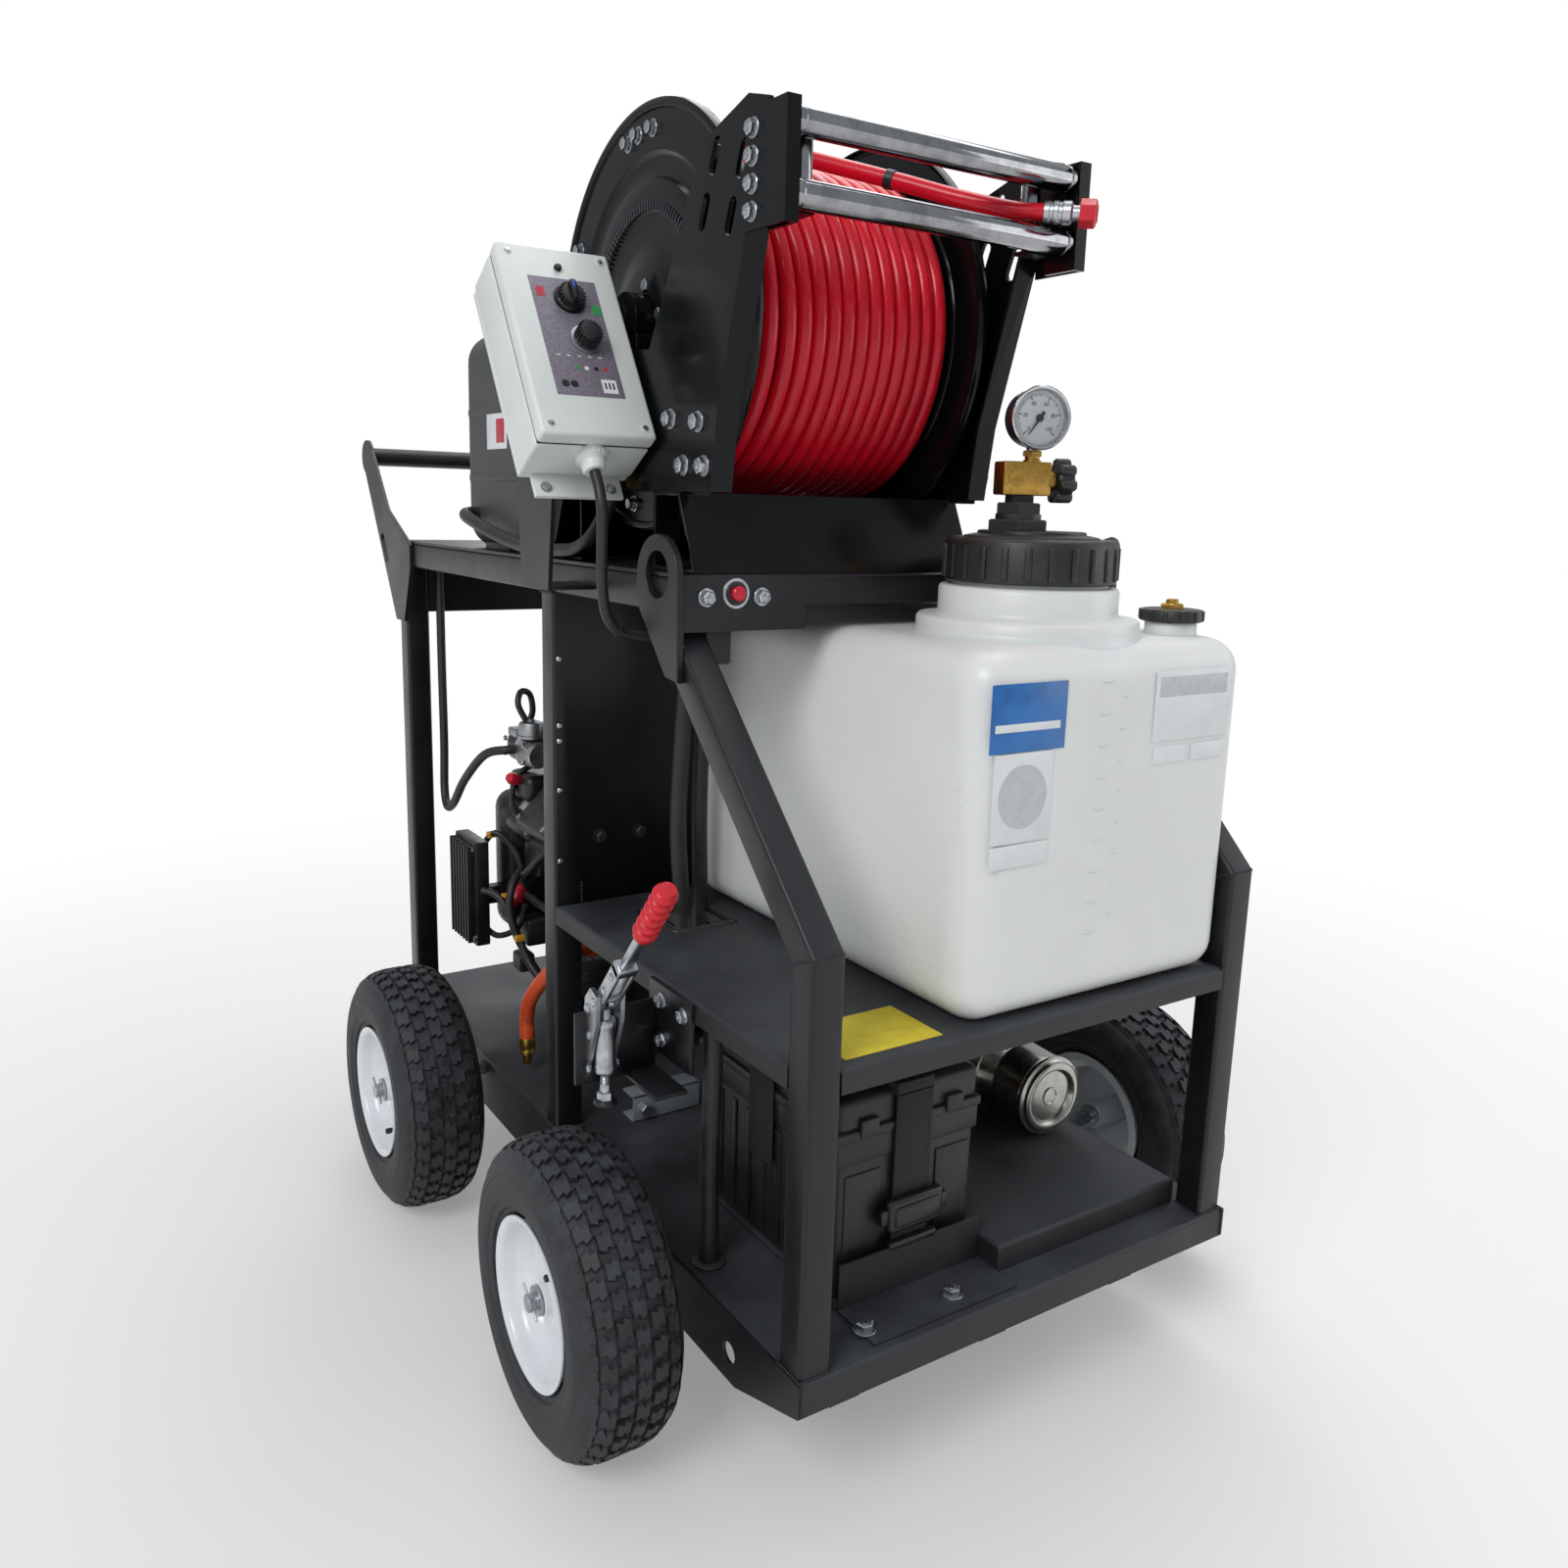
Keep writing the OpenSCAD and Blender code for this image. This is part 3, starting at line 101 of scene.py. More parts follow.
def surface_group():
    """Shared wear of a surface: patches of a second colour, fine grain, and dust on what faces up, which in a
    bluish-grey colour is also a painted sky sheen.
    """
    tree = bpy.data.node_groups.new("surface_wear_and_sheen", "ShaderNodeTree")
    for name, kind in (("Colour", "Color"), ("Patch Colour", "Color"), ("Patch Size", "Float"),
            ("Patch Amount", "Float"), ("Grain Size", "Float"), ("Smooth", "Float"), ("Rough", "Float"),
            ("Dust Colour", "Color"), ("Dust", "Float")):
        tree.interface.new_socket(name, in_out="INPUT", socket_type="NodeSocket" + kind)
    for name, kind in (("Colour", "Color"), ("Roughness", "Float"), ("Height", "Float")):
        tree.interface.new_socket(name, in_out="OUTPUT", socket_type="NodeSocket" + kind)
    given = tree.nodes.new("NodeGroupInput").outputs
    place = wire(tree, "ShaderNodeTexCoord").outputs["Object"]
    size = wire(tree, "ShaderNodeMath", {0: 1.0, 1: given["Patch Size"]}, operation="DIVIDE").outputs[0]
    fine = wire(tree, "ShaderNodeMath", {0: 1.0, 1: given["Grain Size"]}, operation="DIVIDE").outputs[0]
    patch = wire(tree, "ShaderNodeTexNoise", {"Vector": place, "Scale": size, "Detail": 5, "Roughness": 0.62})
    grain = wire(tree, "ShaderNodeTexNoise", {"Vector": place, "Scale": fine, "Detail": 2})
    mask = wire(tree, "ShaderNodeMapRange", {"Value": patch.outputs["Fac"], "From Min": 0.42,
        "From Max": 0.68})
    amount = wire(tree, "ShaderNodeMath", {0: mask.outputs[0], 1: given["Patch Amount"]},
        operation="MULTIPLY")
    colour = wire(tree, "ShaderNodeMix", {"Factor": amount.outputs[0], 6: given["Colour"],
        7: given["Patch Colour"]}, data_type="RGBA")
    # Dust on up-facing faces; where its colour is bluish-grey it is also a painted sky sheen on those faces.
    facing = wire(tree, "ShaderNodeSeparateXYZ", {0: wire(tree, "ShaderNodeNewGeometry").outputs["Normal"]})
    level = wire(tree, "ShaderNodeMapRange", {"Value": facing.outputs["Z"], "From Min": 0.1, "From Max": 1.0,
        "To Min": 0.15})
    upward_dust_and_sheen = wire(tree, "ShaderNodeMath", {0: level.outputs[0], 1: patch.outputs["Fac"]},
        operation="MULTIPLY")
    dust_and_sheen = wire(tree, "ShaderNodeMath", {0: upward_dust_and_sheen.outputs[0], 1: given["Dust"]}, operation="MULTIPLY")
    dust_and_sheen_mixed = wire(tree, "ShaderNodeMix", {"Factor": dust_and_sheen.outputs[0], 6: colour.outputs[2],
        7: given["Dust Colour"]}, data_type="RGBA")
    rough = wire(tree, "ShaderNodeMapRange", {"Value": patch.outputs["Fac"], "From Min": 0.3, "From Max": 0.7,
        "To Min": given["Smooth"], "To Max": given["Rough"]})
    dull = wire(tree, "ShaderNodeMath", {0: dust_and_sheen.outputs[0], 1: 0.5, 2: rough.outputs[0]},
        operation="MULTIPLY_ADD")
    out = tree.nodes.new("NodeGroupOutput")
    tree.links.new(dust_and_sheen_mixed.outputs[2], out.inputs["Colour"])
    tree.links.new(dull.outputs[0], out.inputs["Roughness"])
    tree.links.new(grain.outputs["Fac"], out.inputs["Height"])
    return tree


surface_wear_and_sheen = surface_group()


def finish(name, colour, patch=None, smooth=0.35, rough=0.5, size=0.08, amount=0.6, grain=0.0015,
        depth=0.0001, dust_and_sheen=0.0, dust_and_sheen_colour="8d8272", **sockets):
    """A material that takes colour, roughness and bump from the shared wear, dust and painted sheen."""
    material = bpy.data.materials.new(name)
    material.use_nodes = True
    tree = material.node_tree
    shader = tree.nodes["Principled BSDF"]
    shared_wear_and_sheen = wire(tree, "ShaderNodeGroup", node_tree=surface_wear_and_sheen)
    for key, value in (("Colour", paint(colour)), ("Patch Colour", paint(patch or colour)),
            ("Patch Size", size), ("Patch Amount", amount), ("Grain Size", grain), ("Smooth", smooth),
            ("Rough", rough), ("Dust Colour", paint(dust_and_sheen_colour)), ("Dust", dust_and_sheen)):
        shared_wear_and_sheen.inputs[key].default_value = value
    tree.links.new(shared_wear_and_sheen.outputs["Colour"], shader.inputs["Base Color"])
    tree.links.new(shared_wear_and_sheen.outputs["Roughness"], shader.inputs["Roughness"])
    bump = wire(tree, "ShaderNodeBump", {"Height": shared_wear_and_sheen.outputs["Height"], "Distance": depth})
    tree.links.new(bump.outputs[0], shader.inputs["Normal"])
    for key, value in sockets.items():
        shader.inputs[key.replace("_", " ").title().replace("Ior", "IOR")].default_value = value
    return material


def steps(points, n):
    """A smooth route through a few points, n steps a stretch."""
    route = []
    for i in range(len(points) - 1):
        a, b, c, d = (Vector(points[min(max(i + k, 0), len(points) - 1)]) for k in (-1, 0, 1, 2))
        for k in range(n):
            t = k / n
            route.append(0.5 * (2 * b + (c - a) * t + (2 * a - 5 * b + 4 * c - d) * t ** 2
                + (3 * b - a - 3 * c + d) * t ** 3))
    return route + [Vector(points[-1])]


def rod(body, route, radius, sides=12, look=0):
    """A round rod along a route, closed at both ends. The radius is one number or one a point."""
    radii = radius if isinstance(radius, (list, tuple)) else [radius] * len(route)
    start = (route[1] - route[0]).normalized()
    across = Z if abs(start.z) < 0.8 else Y
    turns = [k * math.tau / sides for k in range(sides)]
    rings = []
    for i, point in enumerate(route):
        along = (route[min(i + 1, len(route) - 1)] - route[max(i - 1, 0)]).normalized()
        across = (across - along * across.dot(along)).normalized()
        other = along.cross(across)
        rings.append([body.verts.new(point + radii[i] * (across * math.cos(t) + other * math.sin(t)))
                      for t in turns])
    faces = [body.faces.new((a[k], a[(k + 1) % sides], b[(k + 1) % sides], b[k]))
             for a, b in zip(rings, rings[1:]) for k in range(sides)]
    faces += [body.faces.new(rings[0][::-1]), body.faces.new(rings[-1])]
    for face in faces:
        face.material_index = look
        face.smooth = True


def turned(body, profile, centre, axis, looks=0, count=48):
    """A turned shape: pairs of radius and distance along the axis from the centre, in millimetres."""
    axis = Vector(axis).normalized()
    across = axis.orthogonal().normalized()
    other = axis.cross(across)
    rings = []
    for r, a in profile:
        middle = centre + axis * a / 1000
        if r <= 0:
            rings.append([body.verts.new(middle)] * count)
        else:
            rings.append([body.verts.new(middle + r / 1000 * (across * math.cos(k * math.tau / count) + other
                * math.sin(k * math.tau / count))) for k in range(count)])
    made = []
    for i in range(len(rings) - 1):
        a, b = rings[i], rings[i + 1]
        for k in range(count):
            corners = []
            for v in (a[k], a[(k + 1) % count], b[(k + 1) % count], b[k]):
                if v not in corners:
                    corners.append(v)
            if len(corners) > 2:
                face = body.faces.new(corners)
                face.material_index = looks[i] if isinstance(looks, (list, tuple)) else looks
                face.smooth = True
                made.append(face)
    return made


def cylinder(radius, low, high):
    """The profile of a plain cylinder."""
    return [(0, low), (radius, low), (radius, high), (0, high)]


def block(body, low, high, edge=1.0, look=0, place=None, count=2):
    """A block with rounded edges, from its low and high corners in millimetres; place turns and moves it."""
    low, high = Vector(low), Vector(high)
    made = bmesh.ops.create_cube(body, size=1)["verts"]
    middle = (low + high) / 2
    for v in made:
        v.co = Vector(c * (b - a) for c, a, b in zip(v.co, low, high)) + middle
    if edge:
        edges = list(dict.fromkeys(e for v in made for e in v.link_edges))
        result = bmesh.ops.bevel(body, geom=edges, offset=edge, segments=count, profile=0.5, affect="EDGES")
        made = [v for f in result["faces"] for v in f.verts] + [v for v in made if v.is_valid]
    faces = list(dict.fromkeys(f for v in made for f in v.link_faces))
    made = list(dict.fromkeys(v for f in faces for v in f.verts))
    for face in faces:
        face.material_index = look
        face.smooth = True
    for v in made:
        v.co = place @ v.co / 1000 if place else at(*v.co)


def blocks(body, look, *rows, place=None):
    """Blocks from rows of low corner, high corner, edge and, where it isn't 2, the edge's steps."""
    for x0, y0, z0, x1, y1, z1, edge, *count in rows:
        block(body, (x0, y0, z0), (x1, y1, z1), edge, look, place, *count)


def nut(body, flats, height, centre, axis, look=0, chamfer=0.8):
    """A hexagon head with a chamfered top, seated on centre and rising along the axis."""
    r = flats / math.sqrt(3)
    faces = turned(body, [(0, 0), (r, 0), (r, height - chamfer), (r - chamfer * 1.4, height), (0, height)],
        centre, axis, look, 6)
    for face in faces:
        face.smooth = False


def piece(name, body, looks, rides="frame", stands_for=(), angle=35, face_out=True):
    if face_out:
        bmesh.ops.recalc_face_normals(body, faces=body.faces)
    mesh = bpy.data.meshes.new(name)
    body.to_mesh(mesh)
    body.free()
    for look in looks:
        mesh.materials.append(look)
    mesh.set_sharp_from_angle(angle=math.radians(angle))
    made = bpy.data.objects.new(name, mesh)
    bpy.context.scene.collection.objects.link(made)
    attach(made, rides)
    if stands_for:
        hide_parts(*stands_for)
    return made


hose_rubber = finish("hose_red", "d41229", "ab0d1f", smooth=0.2, rough=0.32, size=0.05, amount=0.3,
    depth=0.00004, dust_and_sheen=0.05, coat_weight=0.2, coat_roughness=0.12, specular_ior_level=0.25)
zinc = finish("zinc", "b9bcc0", "8f9296", smooth=0.22, rough=0.42, size=0.012, metallic=1.0)
red_cap = finish("hose_cap", "d2182b", "ae1020", rough=0.45, size=0.01)
black_tie = finish("black_tie", "17181a", "242528", size=0.01)

hose_way = [at(*p) for p in ((-176, 598, 1379), (-174, 557, 1411), (-170, 508, 1431), (-162, 456, 1438),
    (-150, 404, 1432), (-136, 370, 1420), (-100, 310, 1399), (-62, 250, 1378), (-26, 196, 1358),
    (10, 154, 1345), (34, 130, 1342))]
hose_line = steps(hose_way, 5)
body = bmesh.new()
rod(body, hose_line, 0.009, 16)
pressure_hose = piece("pressure_hose", body, [hose_rubber], stands_for=["hose_free"])

outward = Matrix.Rotation(math.radians(-47), 4, "Z") @ Matrix.Rotation(math.radians(93), 4, "Y")
outward = outward.to_3x3() @ Z
hose_tip = at(34, 130, 1342)
body = bmesh.new()
turned(body, [(9, -3), (12, -2), (12, 3), (11, 4), (11, 7), (12, 8), (12, 12), (11, 13), (11, 16), (12, 17),
    (12, 25), (10, 26), (8, 27), (8, 34), (0, 34)], hose_tip, outward, 0, 32)
nut(body, 25, 17, hose_tip + outward * 0.034, outward, 1, 2)
turned(body, cylinder(9, 51, 52), hose_tip, outward, 1, 24)
tie = hose_line[34]
tie_way = (hose_line[35] - hose_line[33]).normalized()
turned(body, [(9.1, -5), (10.2, -4.5), (10.2, 4.5), (9.1, 5)], tie, tie_way, 2, 32)
hose_end = piece("hose_end", body, [zinc, red_cap, black_tie])

# ---- Floor and lights ----
# A pale floor that keeps the shadow and fades into a white background, and soft lamps above.
# They light the washer at a plain level.
def on_rays(tree, *kinds):
    """One for rays of these kinds and nought for the others."""
    rays = wire(tree, "ShaderNodeLightPath").outputs
    seen, *others = (rays[f"Is {kind} Ray"] for kind in kinds)
    for other in others:
        seen = wire(tree, "ShaderNodeMath", {0: seen, 1: other}, operation="MAXIMUM").outputs[0]
    return seen


floor_mesh = bpy.data.meshes.new("floor")
floor_mesh.from_pydata([(-30, -30, 0), (30, -30, 0), (30, 30, 0), (-30, 30, 0)], [], [(0, 1, 2, 3)])
floor = bpy.data.objects.new("floor", floor_mesh)
bpy.context.scene.collection.objects.link(floor)
floor_look = bpy.data.materials.new("floor")
floor_look.use_nodes = True
tree = floor_look.node_tree
floor_shader = tree.nodes["Principled BSDF"]
floor_shader.inputs["Base Color"].default_value = (0.8, 0.79, 0.77, 1)
floor_shader.inputs["Roughness"].default_value = 0.9
white = wire(tree, "ShaderNodeEmission", {"Color": (1, 1, 1, 1), "Strength": 1})
away = wire(tree, "ShaderNodeVectorMath", {0: wire(tree, "ShaderNodeTexCoord").outputs["Object"]},
    operation="LENGTH")
fade = wire(tree, "ShaderNodeMapRange", {"Value": away.outputs["Value"], "From Min": 0.9, "From Max": 2.6,
    "To Min": 0.25}, interpolation_type="SMOOTHSTEP")
seen = on_rays(tree, "Camera", "Glossy", "Transmission")
share = wire(tree, "ShaderNodeMath", {0: seen, 1: fade.outputs[0]}, operation="MULTIPLY")
mixed = wire(tree, "ShaderNodeMixShader", {0: share.outputs[0], 1: floor_shader.outputs[0],
    2: white.outputs[0]})
tree.links.new(mixed.outputs[0], tree.nodes["Material Output"].inputs["Surface"])
floor_mesh.materials.append(floor_look)

world = bpy.data.worlds.new("studio")
bpy.context.scene.world = world
world.use_nodes = True
tree = world.node_tree
seen = on_rays(tree, "Camera", "Transmission")
soft = tree.nodes["Background"]
soft.inputs["Color"].default_value = (0.9, 0.95, 1, 1)
soft.inputs["Strength"].default_value = 0.5
plain = wire(tree, "ShaderNodeBackground", {"Color": (1, 1, 1, 1), "Strength": 1})
mixed = wire(tree, "ShaderNodeMixShader", {0: seen, 1: soft.outputs[0], 2: plain.outputs[0]})
tree.links.new(mixed.outputs[0], tree.nodes["World Output"].inputs["Surface"])

for name, spot, aim, width, watts in (
        ("lamp_key", (-3.2, -2.1, 3.4), (0, 0, 0.6), 1.8, 80),
        ("lamp_top", (0.9, 0.5, 3.9), (0, 0, 0.7), 2.6, 60),
        ("lamp_fill", (3.2, -2.2, 1.9), (0, 0, 0.7), 2.2, 24),
        ("lamp_back", (1.8, 3.2, 2.6), (0, 0, 0.9), 2.0, 34)):
    lamp = bpy.data.objects.new(name, bpy.data.lights.new(name, "AREA"))
    lamp.data.size = width
    lamp.data.energy = watts
    lamp.location = spot
    lamp.rotation_euler = (Vector(aim) - Vector(spot)).to_track_quat("-Z", "Y").to_euler()
    bpy.context.scene.collection.objects.link(lamp)

# ---- Frame ----
# Square steel tube 38 x 38 x 3 and 4 mm sheet, cut and welded, then powder coated satin black.
# Outer corners of the tubes are rolled; the sheet's edges are only broken.
# Both coats' bluish-grey dust colour on up-facing faces is part dust and part painted sky sheen.
frame_coat = finish("frame_black", "0e1013", "171a1e", smooth=0.27, rough=0.44, size=0.16, amount=0.5,
    grain=0.0012, depth=0.0002, dust_and_sheen=0.1, dust_and_sheen_colour="7b8087", specular_ior_level=0.42)
sheet_coat = finish("sheet_black", "141518", "212327", smooth=0.42, rough=0.6, size=0.11, grain=0.0012,
    depth=0.0003, dust_and_sheen=0.3, dust_and_sheen_colour="7b8087")


def dress(node, looks, pick=None, rolled=None, edge=0.0008):
    """A CAD node's own shape with its long corners rolled and its edges broken."""
    body = bmesh.new()
    body.from_mesh(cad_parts[node].data)
    bmesh.ops.remove_doubles(body, verts=body.verts, dist=2e-6)
    bmesh.ops.dissolve_limit(body, angle_limit=math.radians(0.6), verts=body.verts, edges=body.edges)
    for face in body.faces:
        face.smooth = True
        face.material_index = pick(face.calc_center_median() * 1000 + half_length * Y) if pick else 0
    if rolled:
        longer, width, count = rolled
        edges = [e for e in body.edges
                 if e.is_convex and e.calc_length() > longer and e.calc_face_angle(0) > math.radians(60)
                 and min(f.calc_area() for f in e.link_faces) > 2.5 * width * e.calc_length()]
        bmesh.ops.bevel(body, geom=edges, offset=width, segments=count, profile=0.5, affect="EDGES",
            clamp_overlap=False)
    made = piece(node + "_shape", body, looks, "frame", [node], face_out=False)
    if edge:
        broken = made.modifiers.new("edges", "BEVEL")
        broken.width = edge
        broken.segments = 2
        broken.limit_method = "ANGLE"
        broken.angle_limit = math.radians(40)
        broken.use_clamp_overlap = True


for node in ("leg_front_left", "leg_front_right", "post_rear_left", "post_rear_right", "top_rail_left",
        "top_rail_right"):
    dress(node, [frame_coat], rolled=(0.1, 0.0048, 4))
for node in ("mid_frame", "platform"):
    dress(node, [frame_coat], rolled=(0.25, 0.0046, 4), edge=0.0006)
for node in ("deck", "shelf", "battery_tray"):
    dress(node, [sheet_coat], rolled=(0.15, 0.005, 4), edge=0.0006)
for node in ("deck_side_left", "deck_side_right", "eye_plate_left", "eye_plate_right", "push_handle"):
    dress(node, [frame_coat], edge=0.001)
for node in ("axle_front", "axle_rear"):
    dress(node, [zinc], edge=0.0006)

# ---- Wheels ----
# Pneumatic turf tyres on white enamelled pressed rims, spinning on the axles. The tread has five
# rows of zigzag blocks, and two rows of lugs on each shoulder.
# The tread's bluish-grey dust colour on its up-facing faces is part dust and part painted sky sheen on the
# blocks.
tread_rubber = finish("tread", "1a1c1f", "3d4045", smooth=0.5, rough=0.74, size=0.03, grain=0.002,
    depth=0.0004, dust_and_sheen=0.26, dust_and_sheen_colour="787b80")
white_enamel = finish("white_rim", "e9edf0", "d5dadd", smooth=0.16, rough=0.3, size=0.05, amount=0.4,
    depth=0.00003, coat_weight=0.4, coat_roughness=0.08, dust_and_sheen=0.12)
hub_bronze = finish("hub_bronze", "7a5a3a", "4d3826", smooth=0.4, rough=0.6, size=0.01, metallic=0.7)


def copies_group():
    """Copies of one shape round an axis or along a line, joined, with one material."""
    tree = bpy.data.node_groups.new("copies", "GeometryNodeTree")
    tree.interface.new_socket("Geometry", in_out="OUTPUT", socket_type="NodeSocketGeometry")
    for name, kind in (("Geometry", "Geometry"), ("Count", "Int"), ("Centre", "Vector"), ("Step", "Vector"),
            ("Axis", "Vector"), ("Turn", "Float"), ("First Turn", "Float"), ("Material", "Material")):
        tree.interface.new_socket(name, in_out="INPUT", socket_type="NodeSocket" + kind)
    given = tree.nodes.new("NodeGroupInput").outputs
    line = wire(tree, "GeometryNodeMeshLine", {"Count": given["Count"], "Start Location": given["Centre"],
        "Offset": given["Step"]}, mode="OFFSET")
    number = wire(tree, "GeometryNodeInputIndex").outputs[0]
    angle = wire(tree, "ShaderNodeMath", {0: number, 1: given["Turn"], 2: given["First Turn"]},
        operation="MULTIPLY_ADD")
    turn = wire(tree, "FunctionNodeAxisAngleToRotation", {"Axis": given["Axis"], "Angle": angle.outputs[0]})
    spread = wire(tree, "GeometryNodeInstanceOnPoints", {"Points": line.outputs[0],
        "Instance": given["Geometry"], "Rotation": turn.outputs[0]})
    real = wire(tree, "GeometryNodeRealizeInstances", {0: spread.outputs[0]})
    dyed = wire(tree, "GeometryNodeSetMaterial", {"Geometry": real.outputs[0], "Material": given["Material"]})
    tree.links.new(dyed.outputs[0], tree.nodes.new("NodeGroupOutput").inputs[0])
    return tree


copies_tree = copies_group()


def copies(body, shape, count, look, centre=(0, 0, 0), step=(0, 0, 0), axis=Z, first=0.0, index=0,
        place=None):
    """Adds copies of a bmesh shape to a body: all round the axis, or in a line where a step is given."""
    mesh = bpy.data.meshes.new("shape")
    shape.to_mesh(mesh)
    shape.free()
    holder = bpy.data.objects.new("shape", mesh)
    bpy.context.scene.collection.objects.link(holder)
    modifier = holder.modifiers.new("copies", "NODES")
    modifier.node_group = copies_tree
    values = {"Count": count, "Centre": list(centre), "Step": list(step), "Axis": list(axis),
        "Turn": 0.0 if any(step) else math.tau / count, "First Turn": first, "Material": look}
    for item in copies_tree.interface.items_tree:
        if item.in_out == "INPUT" and item.name in values:
            modifier[item.identifier] = values[item.name]
    bpy.context.view_layer.update()
    ready = holder.evaluated_get(bpy.context.evaluated_depsgraph_get())
    result = bpy.data.meshes.new_from_object(ready)
    if place:
        result.transform(place)
    before = len(body.faces)
    body.from_mesh(result)
    body.faces.ensure_lookup_table()
    for face in body.faces[before:]:
        face.material_index = index
    bpy.data.objects.remove(holder)
    bpy.data.meshes.remove(result)


def slab(body, low, high):
    """Closes two rings of points to a slab."""
    low, high = ([body.verts.new(p) for p in ring] for ring in (low, high))
    body.faces.new(low[::-1])
    body.faces.new(high)
    for i, (a, b) in enumerate(zip(low, high)):
        body.faces.new((low[i - 1], a, b, high[i - 1]))


def prism(outline, low, high, slope=0.0):
    """A block on an outline of (across, along) pairs, from radius low to high; its top draws in by slope."""
    body = bmesh.new()
    cx = sum(p[0] for p in outline) / len(outline)
    cy = sum(p[1] for p in outline) / len(outline)
    slab(body, [Vector((x, y, low)) / 1000 for x, y in outline],
         [Vector((cx + (x - cx) * (1 - slope), cy + (y - cy) * (1 - slope),
                  high(x) if callable(high) else high)) / 1000 for x, y in outline])
    bmesh.ops.recalc_face_normals(body, faces=body.faces)
    return body


def crown_height(x):
    """Radius of the tread's top at a distance from the tyre's middle."""
    across = abs(x)
    return 174.8 if across < 24 else 174.8 - (across - 24) * 0.30 - max(0, across - 40) * 0.45


tyre_profile = [(87.4, -39), (94, -49), (99, -53), (103, -54), (104, -56.5), (110, -58.5), (112, -58.2),
    (114, -59.5), (120, -60.3), (129, -61), (136, -60.6), (138, -59.6), (140, -60.2), (147, -58.2),
    (153, -55.5), (158, -52), (162.5, -46), (165.5, -38), (168, -28), (169.3, -14), (169.6, 0)]
tyre_profile += [(r, -a) for r, a in tyre_profile[-2::-1]] + [(87.4, -39)]
tread_body = bmesh.new()
turned(tread_body, tyre_profile, Vector((0, 0, 0)), X, 0, 120)
blocks_round = 38
zigzag = [(-8.2, -9), (-1, -12), (1.5, -6.5), (8.2, -9.5), (8.6, 8), (1.5, 12), (-1, 6), (-8, 9.5)]
for row, middle in enumerate((-37.5, -18.8, 0, 18.8, 37.5)):
    flip = 1 if row % 2 else -1
    outline = [(middle + x, y * flip) for x, y in zigzag]
    copies(tread_body, prism(outline, 163, crown_height, 0.12), blocks_round, tread_rubber, axis=X,
        first=(row % 2) * math.tau / blocks_round / 2)
for way in (-1, 1):
    for inner, outer, wide, shift in ((46.5, 55, 9.5, 0.5), (47.5, 59, 5.5, 1)):
        lug = prism([(way * inner, -wide), (way * outer, -wide * 0.8), (way * outer, wide * 0.8),
            (way * inner, wide)], 140, lambda x: crown_height(x) - max(0, abs(x) - 50) * 1.1, 0.1)
        copies(tread_body, lug, blocks_round, tread_rubber, axis=X, first=shift * math.tau / blocks_round)
tyre_mesh = bpy.data.meshes.new("tyre")
tread_body.to_mesh(tyre_mesh)
tread_body.free()

wheel_places = {"front_left": (-1, 285), "front_right": (1, 285), "rear_left": (-1, 874),
    "rear_right": (1, 874)}
for number, (corner, (way, along)) in enumerate(wheel_places.items()):
    hub = at(way * 430, along, 175)
    spin = Matrix.Rotation(0.7 * number, 4, "X")
    body = bmesh.new()
    body.from_mesh(tyre_mesh)
    body.transform(Matrix.Translation(hub) @ spin)
    piece("tyre_" + corner + "_rubber", body, [tread_rubber], "wheel_" + corner, ["tyre_" + corner],
        30, False)

    # The dish stands for the pressed rim: flange, bead seat, drop centre and web in one turned shell.
    body = bmesh.new()
    out = way * X
    turned(body, [(84, -56), (94.6, -56), (95, -54), (93, -53), (87.5, -52), (87, -40), (73, -31), (73, 24),
        (87, 37), (87.5, 51), (93, 52), (95, 54), (94.6, 56), (91, 56.2), (86, 53.5), (84.3, 50), (83.5, 40),
        (81, 34), (72, 27), (69, 20), (66, 19), (46, 27), (34, 30), (18, 33.5), (18, 30), (34, 26.5),
        (46, 23.5), (67, 15.5), (70, 15), (70, -33), (84, -42), (84, -56)], hub, out, 0, 96)
    turned(body, [(10.2, -42), (17, -42), (18, -41), (18, 41), (17, 42), (10.2, 42), (10.2, -42)], hub, out,
        [0, 0, 0, 0, 1, 1], 40)
    turned(body, [(18, 34), (21, 33.6), (21.6, 32), (20, 30.5), (18, 30.4)], hub, out, 0, 40)
    stem = hub + (math.cos(2.2 + number) * Y + math.sin(2.2 + number) * Z) * 0.06 + out * 0.018
    turned(body, [(0, 0), (5.5, 0), (5, 6), (3.6, 10), (3.6, 24), (4.2, 24.5), (4.2, 31), (3, 32), (0, 32)],
        stem, out, 2, 20)
    rod(body, [hub + out * 0.052 + Vector((0, c, s)) for c, s in ((-0.018, -0.012), (0, 0), (0.02, 0.013))],
        0.0016, 8, 3)
    piece("rim_" + corner + "_dish", body, [white_enamel, hub_bronze, black_tie, zinc], "wheel_" + corner,
        ["rim_" + corner], 40)

